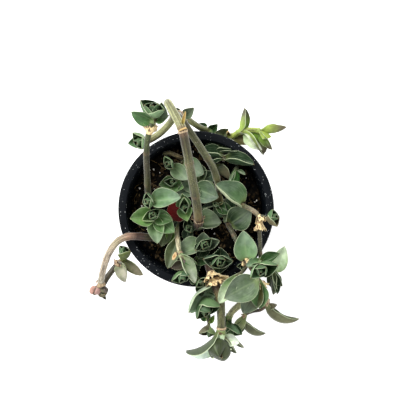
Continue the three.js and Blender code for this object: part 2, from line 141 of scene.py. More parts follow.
def finished(piece, name, nodes=(), smooth_angle=None):
    apply_all_modifiers(piece)
    bpy.ops.object.transform_apply(location=True, rotation=True, scale=True)
    if smooth_angle is None:
        bpy.ops.object.shade_smooth()
    else:
        bpy.ops.object.shade_smooth_by_angle(angle=math.radians(smooth_angle))
    piece.name = name
    piece.data.name = name
    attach(piece, "root")
    if nodes:
        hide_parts(*nodes)
    return piece


def triangles(piece):
    return sum(len(face.vertices) - 2 for face in piece.data.polygons)


# %% [markdown]
# A finish is built from a few nodes, over and over. Short helpers keep that readable: one adds a
# node with its settings, one sets or links its inputs, and the others each stand for a step that
# comes back in every finish, such as a blend of two colours or a cloudy noise.

# %% Helpers for finishes
def add_node(tree, kind, **settings):
    node = tree.nodes.new(kind)
    for key, value in settings.items():
        setattr(node, key, value)
    return node


def feed(tree, node, **inputs):
    """Sets or links inputs. Noise_Scale means the input Noise Scale, and _0 the first input."""
    for key, value in inputs.items():
        socket = node.inputs[int(key[1:])] if key[0] == "_" else node.inputs[key.replace("_", " ")]
        if isinstance(value, bpy.types.NodeSocket):
            tree.links.new(value, socket)
        else:
            socket.default_value = value
    return node


def maths(tree, operation, a, b=0.0):
    return feed(tree, add_node(tree, "ShaderNodeMath", operation=operation), _0=a, _1=b).outputs[0]


def blend(tree, share, first, second, mode="MIX"):
    node = add_node(tree, "ShaderNodeMix", data_type="RGBA", blend_type=mode, clamp_factor=True)
    return feed(tree, node, _0=share, _6=first, _7=second).outputs[2]


def stain(tree, base, mask, strength, tone):
    """Lays a tone over the base where the mask is, at some strength."""
    return blend(tree, maths(tree, "MULTIPLY", mask, strength), base, tone)


def spread(tree, value, low, high, out_low=0.0, out_high=1.0):
    node = add_node(tree, "ShaderNodeMapRange", interpolation_type="SMOOTHSTEP")
    feed(tree, node, Value=value, From_Min=low, From_Max=high, To_Min=out_low, To_Max=out_high)
    return node.outputs["Result"]


def cloudy(tree, place, scale, detail=2.0, rough=0.5):
    node = add_node(tree, "ShaderNodeTexNoise")
    feed(tree, node, Vector=place, Scale=scale, Detail=detail, Roughness=rough)
    return node.outputs["Fac"]


def cells(tree, place, scale):
    return feed(tree, add_node(tree, "ShaderNodeTexVoronoi"), Vector=place, Scale=scale).outputs


def split(tree, vector):
    return feed(tree, add_node(tree, "ShaderNodeSeparateXYZ"), Vector=vector).outputs


def stored(tree, name, kind="Fac"):
    """Reads what a mesh stores for each vertex under a name."""
    return add_node(tree, "ShaderNodeAttribute", attribute_name=name).outputs[kind]


def start_group(name, inputs, outputs):
    tree = bpy.data.node_groups.new(name, "ShaderNodeTree")
    for label, kind, default in inputs:
        socket = tree.interface.new_socket(label, in_out="INPUT", socket_type=kind)
        if default is not None:
            socket.default_value = default
    for label in outputs:
        tree.interface.new_socket(label, in_out="OUTPUT", socket_type=FLOAT)
    return tree, tree.nodes.new("NodeGroupInput"), tree.nodes.new("NodeGroupOutput")


def place_group(tree, group, **inputs):
    return feed(tree, add_node(tree, "ShaderNodeGroup", node_tree=group), **inputs).outputs


def start_material(name):
    material = bpy.data.materials.new(name)
    material.use_nodes = True
    tree = material.node_tree
    return material, tree, tree.nodes["Principled BSDF"]


def object_place(tree):
    return add_node(tree, "ShaderNodeTexCoord").outputs["Object"]


def uv_place(tree):
    return add_node(tree, "ShaderNodeUVMap").outputs["UV"]


def add_bump(tree, shader, height, depth, strength):
    bump = add_node(tree, "ShaderNodeBump")
    feed(tree, bump, Height=height, Distance=depth, Strength=strength)
    feed(tree, shader, Normal=bump.outputs["Normal"])


def colour(red, green, blue):
    """A colour given as it looks on a screen, 0 to 255, as the linear one that shaders take."""
    return tuple(((c / 255 + 0.055) / 1.055) ** 2.4 if c > 10 else c / 255 / 12.92
                 for c in (red, green, blue)) + (1.0,)


FLOAT, VECTOR = "NodeSocketFloat", "NodeSocketVector"


# %% [markdown]
# The photograph looks straight down. A lens has to be as far away as the real one was, or the
# tall arching stems would lean out too much, so the camera stands 60 cm over the rim and its lens
# shows 27 cm there. The light is a white tent: a bright sky all round, which gives each stem two
# pale edges. A large soft lamp from the upper left models the leaves, and a weak one from the
# right opens their shade.

# %% Camera, light and floor
RIM_HEIGHT = 88 * MM
EYE_HEIGHT = 600 * MM
EYE_OVER = (7.8 * MM, 0.6 * MM)
SEEN_WIDTH = 272 * MM
SENSOR = 36.0
SKY_TOP, SKY_SIDE = 0.8, 1.75
SIDE_UP_TO, TOP_FROM = 0.15, 0.75
FLOOR_RADIUS = 4.0

# A lamp is its name, its place and width in metres, and its power in watts.
LAMPS = [("key_softbox", (-0.55, 0.6, 0.95), 0.5, 17.0), ("fill_softbox", (0.9, -0.4, 0.5), 0.8, 1.0)]

bpy.ops.object.camera_add(location=(*EYE_OVER, RIM_HEIGHT + EYE_HEIGHT), rotation=(0, 0, 0))
camera = bpy.context.object
camera.name = "photo_camera"
camera.data.sensor_width = SENSOR
camera.data.lens = SENSOR * EYE_HEIGHT / SEEN_WIDTH
bpy.context.scene.camera = camera

world = bpy.data.worlds.new("white_tent")
world.use_nodes = True
sky = world.node_tree
upward = split(sky, add_node(sky, "ShaderNodeTexCoord").outputs["Generated"])[2]
feed(sky, sky.nodes["Background"], Color=(1.0, 1.0, 1.0, 1.0),
     Strength=spread(sky, upward, SIDE_UP_TO, TOP_FROM, SKY_SIDE, SKY_TOP))
bpy.context.scene.world = world
bpy.context.scene.view_settings.view_transform = "Standard"

for lamp_name, lamp_place, lamp_width, power in LAMPS:
    bpy.ops.object.light_add(type="AREA", location=lamp_place)
    lamp = bpy.context.object
    lamp.name = lamp_name
    lamp.data.size = lamp_width
    lamp.data.energy = power
    lamp.rotation_euler = (-Vector(lamp_place)).to_track_quat("-Z", "Y").to_euler()

bpy.ops.mesh.primitive_circle_add(vertices=64, radius=FLOOR_RADIUS, fill_type="NGON")
floor = bpy.context.object
floor.name = "pale_floor"
print("lens in mm:", round(camera.data.lens, 1), "lamps:", len(LAMPS))


# %% [markdown]
# What several finishes share is a node group: a speckle for grit and dust, long streaks for
# fibres, and the place on a leaf, with masks for its rim, its rib and its foot.

# %% The shared node groups
def speckle_group():
    tree, given, out = start_group(
        "speckle",
        [("Vector", VECTOR, None), ("Scale", FLOAT, 900.0), ("Amount", FLOAT, 0.1)],
        ["Mask"])
    place = given.outputs["Vector"]
    grown = maths(tree, "MULTIPLY", cloudy(tree, place, scale=90.0), given.outputs["Amount"])
    distance = cells(tree, place, given.outputs["Scale"])["Distance"]
    inside = maths(tree, "SUBTRACT", grown, distance)
    feed(tree, out, Mask=spread(tree, inside, 0.0, 0.06))
    return tree


def streak_group():
    tree, given, out = start_group(
        "long_streaks",
        [("Across", FLOAT, None), ("Along", FLOAT, None), ("Density", FLOAT, 30.0),
         ("Length", FLOAT, 1.5)],
        ["Value"])
    place = add_node(tree, "ShaderNodeCombineXYZ")
    feed(tree, place,
         X=maths(tree, "MULTIPLY", given.outputs["Across"], given.outputs["Density"]),
         Y=maths(tree, "MULTIPLY", given.outputs["Along"], given.outputs["Length"]))
    feed(tree, out, Value=cloudy(tree, place.outputs["Vector"], scale=1.0, detail=3.0, rough=0.6))
    return tree


def blade_group():
    tree, given, out = start_group(
        "place_on_blade",
        [("UV", VECTOR, None), ("Rim From", FLOAT, 0.91)],
        ["Across", "Along", "Rim", "Rib", "Foot"])
    across, along, _ = split(tree, given.outputs["UV"])
    doubled = maths(tree, "MULTIPLY", across, 2.0)
    off_rib = maths(tree, "ABSOLUTE", maths(tree, "SUBTRACT", doubled, 1.0))
    past_rim = maths(tree, "SUBTRACT", off_rib, given.outputs["Rim From"])
    feed(tree, out, Across=across, Along=along, Rim=spread(tree, past_rim, 0.0, 0.065),
         Rib=spread(tree, off_rib, 0.07, 0.0), Foot=spread(tree, along, 0.22, 0.02))
    return tree


SPECKLE = speckle_group()
STREAKS = streak_group()
BLADE = blade_group()
print("shared groups:", ", ".join(group.name for group in (SPECKLE, STREAKS, BLADE)))


# %% [markdown]
# The pot is thin black plastic. It isn't quite black: its lip looks blue-grey where it faces the
# light, it is a little scuffed, and dust and grit lie on it as tiny pale specks, thickest near
# the rim. The floor is the white sweep of a studio.

# %% Finishes of the pot and the floor
DUST_FROM = 60 * MM


def plastic_finish():
    material, tree, shader = start_material("pot_plastic")
    place = object_place(tree)
    clouds = cloudy(tree, place, scale=60.0, detail=4.0, rough=0.6)
    base = blend(tree, clouds, colour(2, 4, 6), colour(9, 14, 20))
    specks = place_group(tree, SPECKLE, Vector=place, Scale=640.0, Amount=0.275)["Mask"]
    dusty = spread(tree, split(tree, place)["Z"], DUST_FROM, RIM_HEIGHT, 0.12, 1.0)
    dust = maths(tree, "MULTIPLY", specks, dusty)
    feed(tree, shader, Base_Color=blend(tree, dust, base, colour(190, 194, 192)),
         Roughness=spread(tree, clouds, 0.3, 0.7, 0.38, 0.6), Specular_IOR_Level=0.1)
    add_bump(tree, shader, cloudy(tree, place, scale=1800.0), depth=0.06 * MM, strength=0.5)
    return material


def floor_finish():
    material, tree, shader = start_material("pale_floor")
    feed(tree, shader, Base_Color=(0.95, 0.95, 0.95, 1.0), Roughness=0.9,
         Emission_Color=(1.0, 1.0, 1.0, 1.0), Emission_Strength=0.3)
    return material


POT_PLASTIC = plastic_finish()
floor.data.materials.append(floor_finish())

# %% [markdown]
# A pot is turned, so it is made as a potter would: half its outline is drawn point by point, and
# the spin operator carries it round. The outline repeats the solid's: a foot ring, a tapered
# wall, and a broad folded lip. Two shallow steps inside are where pots stack. The drain holes
# are cut with booleans, and a bevel takes the sharpness off every edge.

# %% The pot
RIM_RADIUS = 51 * MM
FOOT_RADIUS = 36 * MM
LIP_WIDTH = 4.2 * MM
LIP_DROP = 8 * MM
LIP_ROUND = 0.6 * MM
WALL = 1.3 * MM
FLOOR_TOP = 3 * MM
FOOT_RISE = 1.4 * MM
FOOT_WIDTH = 3.4 * MM
BOSS_RADIUS = 9 * MM
DRAIN_COUNT = 6
DRAIN_RADIUS = 3.6 * MM
DRAIN_CIRCLE = 23 * MM
STEP_HEIGHTS = (79 * MM, 81.5 * MM)
STEP = 0.35 * MM
TURNS = 120
POT_WELD = 0.01 * MM
EDGE_WIDTH = 0.225 * MM
EDGE_FROM = 40
SMOOTH_UNDER = 35


def wall_radius(z):
    return FOOT_RADIUS + (RIM_RADIUS - LIP_WIDTH - FOOT_RADIUS) * z / RIM_HEIGHT


def pot_outline():
    """Half the pot's section, as (radius, height), from the middle of its underside and back."""
    inside = RIM_RADIUS - LIP_WIDTH - WALL
    under_lip = RIM_HEIGHT - LIP_DROP
    lip_floor = RIM_HEIGHT - 2 * WALL
    low, high = STEP_HEIGHTS
    underside = [(0, 0), (BOSS_RADIUS, 0), (BOSS_RADIUS + MM, FOOT_RISE),
                 (FOOT_RADIUS - FOOT_WIDTH - MM, FOOT_RISE), (FOOT_RADIUS - FOOT_WIDTH, 0)]
    outer_wall = [(FOOT_RADIUS, 0), (wall_radius(RIM_HEIGHT - WALL), lip_floor)]
    lip = [(RIM_RADIUS - WALL, lip_floor), (RIM_RADIUS - WALL, under_lip), (RIM_RADIUS, under_lip),
           (RIM_RADIUS, RIM_HEIGHT - LIP_ROUND), (RIM_RADIUS - LIP_ROUND, RIM_HEIGHT),
           (inside + LIP_ROUND, RIM_HEIGHT), (inside, RIM_HEIGHT - LIP_ROUND)]
    steps = [(inside - 0.3 * STEP, high), (inside - STEP, high - STEP),
             (inside - 1.2 * STEP, low), (inside - 2 * STEP, low - STEP)]
    inner_wall = [(wall_radius(FLOOR_TOP) - WALL, FLOOR_TOP), (0, FLOOR_TOP)]
    return underside + outer_wall + lip + steps + inner_wall


def cut_drain_holes(pot):
    for k in range(DRAIN_COUNT):
        turn = 2 * math.pi * k / DRAIN_COUNT
        place = (DRAIN_CIRCLE * math.cos(turn), DRAIN_CIRCLE * math.sin(turn), 0)
        bpy.ops.mesh.primitive_cylinder_add(vertices=32, radius=DRAIN_RADIUS, depth=4 * FLOOR_TOP,
                                            location=place)
        cutter = bpy.context.object
        cut = pot.modifiers.new("drain", "BOOLEAN")
        cut.object = cutter
        cut.operation = "DIFFERENCE"
        apply_all_modifiers(pot)
        bpy.data.objects.remove(cutter)


def make_pot():
    deselect()
    bpy.ops.mesh.primitive_plane_add(size=MM)
    pot = bpy.context.object
    outline = pot_outline()
    edit_all(pot)
    bpy.ops.mesh.merge(type="CENTER")
    radius, height = outline[0]
    bpy.ops.transform.translate(value=(radius, 0, height))
    for (from_radius, from_height), (radius, height) in zip(outline, outline[1:]):
        step = (radius - from_radius, 0, height - from_height)
        bpy.ops.mesh.extrude_region_move(TRANSFORM_OT_translate={"value": step})
    bpy.ops.mesh.select_all(action="SELECT")
    bpy.ops.mesh.spin(steps=TURNS, angle=2 * math.pi, center=(0, 0, 0), axis=(0, 0, 1))
    weld(pot, POT_WELD)
    cut_drain_holes(pot)
    bevel = pot.modifiers.new("soft_edges", "BEVEL")
    bevel.width = EDGE_WIDTH
    bevel.segments = 2
    bevel.limit_method = "ANGLE"
    bevel.angle_limit = math.radians(EDGE_FROM)
    pot.data.materials.append(POT_PLASTIC)
    return finished(pot, "nursery_pot", ["pot"], smooth_angle=SMOOTH_UNDER)


pot = make_pot()
print("pot:", triangles(pot), "triangles")


# %% [markdown]
# Potting soil is crumbs of black peat with bits of bark, roots and white perlite. All of them
# are matte and grainy, so one plain finish with two colours serves for bark, roots and perlite.

# %% The finishes of the soil
def soil_finish():
    material, tree, shader = start_material("potting_soil")
    place = object_place(tree)
    crumbs = cells(tree, place, scale=620.0)
    patches = cloudy(tree, place, scale=110.0, detail=5.0, rough=0.7)
    dark = blend(tree, spread(tree, patches, 0.42, 0.68), colour(2, 2, 2), colour(14, 12, 8))
    warm = blend(tree, spread(tree, crumbs["Color"], 0.72, 0.95), dark, colour(52, 40, 24))
    moss = blend(tree, spread(tree, patches, 0.63, 0.75), warm, colour(34, 34, 17))
    feed(tree, shader, Base_Color=moss, Roughness=0.95, Specular_IOR_Level=0.06)
    add_bump(tree, shader, crumbs["Distance"], depth=0.8 * MM, strength=0.7)
    return material


def plain_finish(name, dark, light, scale, rough):
    material, tree, shader = start_material(name)
    grain = cloudy(tree, object_place(tree), scale, detail=4.0, rough=0.65)
    feed(tree, shader, Base_Color=blend(tree, spread(tree, grain, 0.3, 0.7), dark, light),
         Roughness=rough, Specular_IOR_Level=0.15)
    add_bump(tree, shader, grain, depth=0.2 * MM, strength=0.6)
    return material


SOIL = soil_finish()
BARK = plain_finish("bark_chips", colour(8, 6, 4), colour(86, 70, 46), scale=500.0, rough=0.85)
FIBRE = plain_finish("root_fibres", colour(44, 32, 18), colour(128, 104, 64), scale=400.0, rough=0.8)
PERLITE = plain_finish("perlite", colour(196, 192, 180), colour(244, 242, 236), scale=900.0, rough=0.9)

# %% [markdown]
# The soil's surface is a fine grid, drawn in to a disc, that repeats the solid's gentle lumps and
# adds crumbs of several sizes. The crumbs are real shape, because the light is low there and
# bump alone looks flat. The rim of the grid is then drawn down to the pot's floor and closed.

# %% The soil's surface
SOIL_TOP = 75 * MM
SOIL_LUMP = 0.9 * MM
# Lumps are waves across and back, with a shift and a share of the height.
COARSE_LUMPS = (310.0, 270.0, 1.3, 0.6)
FINE_LUMPS = (830.0, 710.0, 0.5, 0.4)
SOIL_CLEAR = 0.6 * MM
SOIL_OVER_FLOOR = 0.3 * MM
SOIL_GRID = 150
# Crumbs are noise of a scale and a height, read at one level of it.
CRUMBS = ((160.0, 1.0 * MM), (420.0, 0.9 * MM), (1100.0, 0.5 * MM))
CRUMB_LEVEL = 3.7


def soil_height(x, y):
    total = 0.0
    for across, back, shift, share in (COARSE_LUMPS, FINE_LUMPS):
        total += share * math.sin(across * x + shift) * math.cos(back * y - shift * across * x)
    return SOIL_TOP + SOIL_LUMP * total


def crumb_height(x, y):
    """The surface with its crumbs, which only ever add or take away a millimetre or two."""
    height = soil_height(x, y)
    for scale, size in CRUMBS:
        height += size * noise.noise((x * scale, y * scale, CRUMB_LEVEL))
    return height


def make_soil():
    edge = wall_radius(SOIL_TOP) - WALL - SOIL_CLEAR
    foot = wall_radius(FLOOR_TOP) - WALL - SOIL_CLEAR
    soil = new_grid(SOIL_GRID, SOIL_GRID, size=2 * edge)
    for vertex in soil.data.vertices:
        x, y, _ = vertex.co
        square = max(abs(x), abs(y))
        round_off = square / max(math.hypot(x, y), 1e-9)
        vertex.co = Vector((x * round_off, y * round_off, 0))
        vertex.co.z = crumb_height(vertex.co.x, vertex.co.y)
    edit_all(soil)
    bpy.ops.mesh.region_to_loop()
    bpy.ops.mesh.extrude_region_move(TRANSFORM_OT_translate={"value": (0, 0, 0)})
    bpy.ops.object.mode_set(mode="OBJECT")
    for vertex in soil.data.vertices:
        if vertex.select:
            around = Vector((vertex.co.x, vertex.co.y, 0)).normalized()
            vertex.co = around * foot + Vector((0, 0, FLOOR_TOP + SOIL_OVER_FLOOR))
    bpy.ops.object.mode_set(mode="EDIT")
    bpy.ops.mesh.edge_face_add()
    bpy.ops.mesh.select_all(action="SELECT")
    bpy.ops.mesh.normals_make_consistent(inside=False)
    bpy.ops.object.mode_set(mode="OBJECT")
    soil.data.materials.append(SOIL)
    return finished(soil, "soil_body", ["soil"])


soil = make_soil()
print("soil:", triangles(soil), "triangles")


# %% [markdown]
# On the soil lie chips of bark, crumbs of peat, grains of perlite and thin dead roots. Each kind
# is modelled once, as a rough lump or a bent thread, and copied with its own size, turn and
# seeded place. The copies of a kind are joined to one piece, since nobody would pick up a single
# crumb.

# %% Loose bits on the soil
SOIL_EDGE = 41.5 * MM
LUMP_ROUGH, LUMP_SCALE = 0.35, 1.3
LUMP_SMOOTH = 40
TILT = 0.5
THREAD_THICK = 0.03


def rough_lump(squash, seed):
    deselect()
    bpy.ops.mesh.primitive_ico_sphere_add(subdivisions=2, radius=1.0)
    lump = bpy.context.object
    for vertex in lump.data.vertices:
        bulge = 1 + LUMP_ROUGH * noise.noise(vertex.co * LUMP_SCALE + Vector((seed, 0, 0)))
        vertex.co = Vector(a * b for a, b in zip(vertex.co * bulge, squash))
    return lump


def bent_thread():
    deselect()
    bpy.ops.curve.primitive_bezier_curve_add(radius=1.0)
    thread = bpy.context.object
    thread.data.bevel_depth = THREAD_THICK
    thread.data.bevel_resolution = 0
    thread.data.resolution_u = 7
    bpy.ops.object.convert(target="MESH")
    return bpy.context.object


def scatter(master, name, count, sizes, lift, seed, material, slot):
    """Copies of one lump on the soil, each with its own mesh, joined to one piece."""
    draw = random.Random(seed)
    copies = []
    for _ in range(count):
        radius = SOIL_EDGE * math.sqrt(draw.random())
        turn = draw.uniform(0, 2 * math.pi)
        x, y = radius * math.cos(turn), radius * math.sin(turn)
        bit = copy_of(master)
        size = draw.uniform(*sizes) * MM
        bit.scale = (size,) * 3
        bit.rotation_euler = (draw.uniform(-TILT, TILT), draw.uniform(-TILT, TILT),
                              draw.uniform(0, FULL_TURN))
        bit.location = (x, y, soil_height(x, y) + lift * size)
        copies.append(bit)
    bpy.data.objects.remove(master)
    joined = join(copies)
    joined.data.materials.append(material)
    finished(joined, name, smooth_angle=LUMP_SMOOTH)
    print(f"{name}: {count} with {triangles(joined)} triangles")


# Lumps are [name, squash, noise seed, count, sizes in mm, lift, seed, finish, slot].
LUMPS = [
    ["bark_chips", (1.3, 0.7, 0.4), 1, 300, (0.5, 1.5), 0.3, 11, BARK, "potting_soil"],
    ["peat_crumbs", (1, 0.9, 0.8), 4, 700, (0.4, 1.1), 0.3, 12, SOIL, "potting_soil"],
    ["perlite_grains", (1, 0.85, 0.75), 7, 70, (0.3, 0.8), 0.6, 13, PERLITE, "perlite"],
]
for kind, squash, shape_seed, *how in LUMPS:
    scatter(rough_lump(squash, shape_seed), kind, *how)
scatter(bent_thread(), "root_fibres", count=110, sizes=(2, 5), lift=0.12, seed=14, material=FIBRE,
        slot="potting_soil")


# %% [markdown]
# Each shoot is drawn from one table. It starts from the numbers of the solids: a stem's
# thickness, the places that it runs through, its leaves and the rosette at its tip. The places
# are given as they look from above, level with the rim, so what stands higher is drawn in a
# little. Lengths are in millimetres and angles in degrees.
#
# A leaf is [number in the route, heading, rise, length, width, roll, curl, fold, tone], with a
# second tone where its tip has another. A head is [heading of its ranks, largest leaf, number of
# leaves, openness, heading of its axis, its rise]. Its tones go from the outermost leaf inwards,
# and the last one serves for the rest. A closed head is a ball of curled leaves. Shoots without
# a head end in their own last leaves. A branch forks off at a number in its shoot's route.

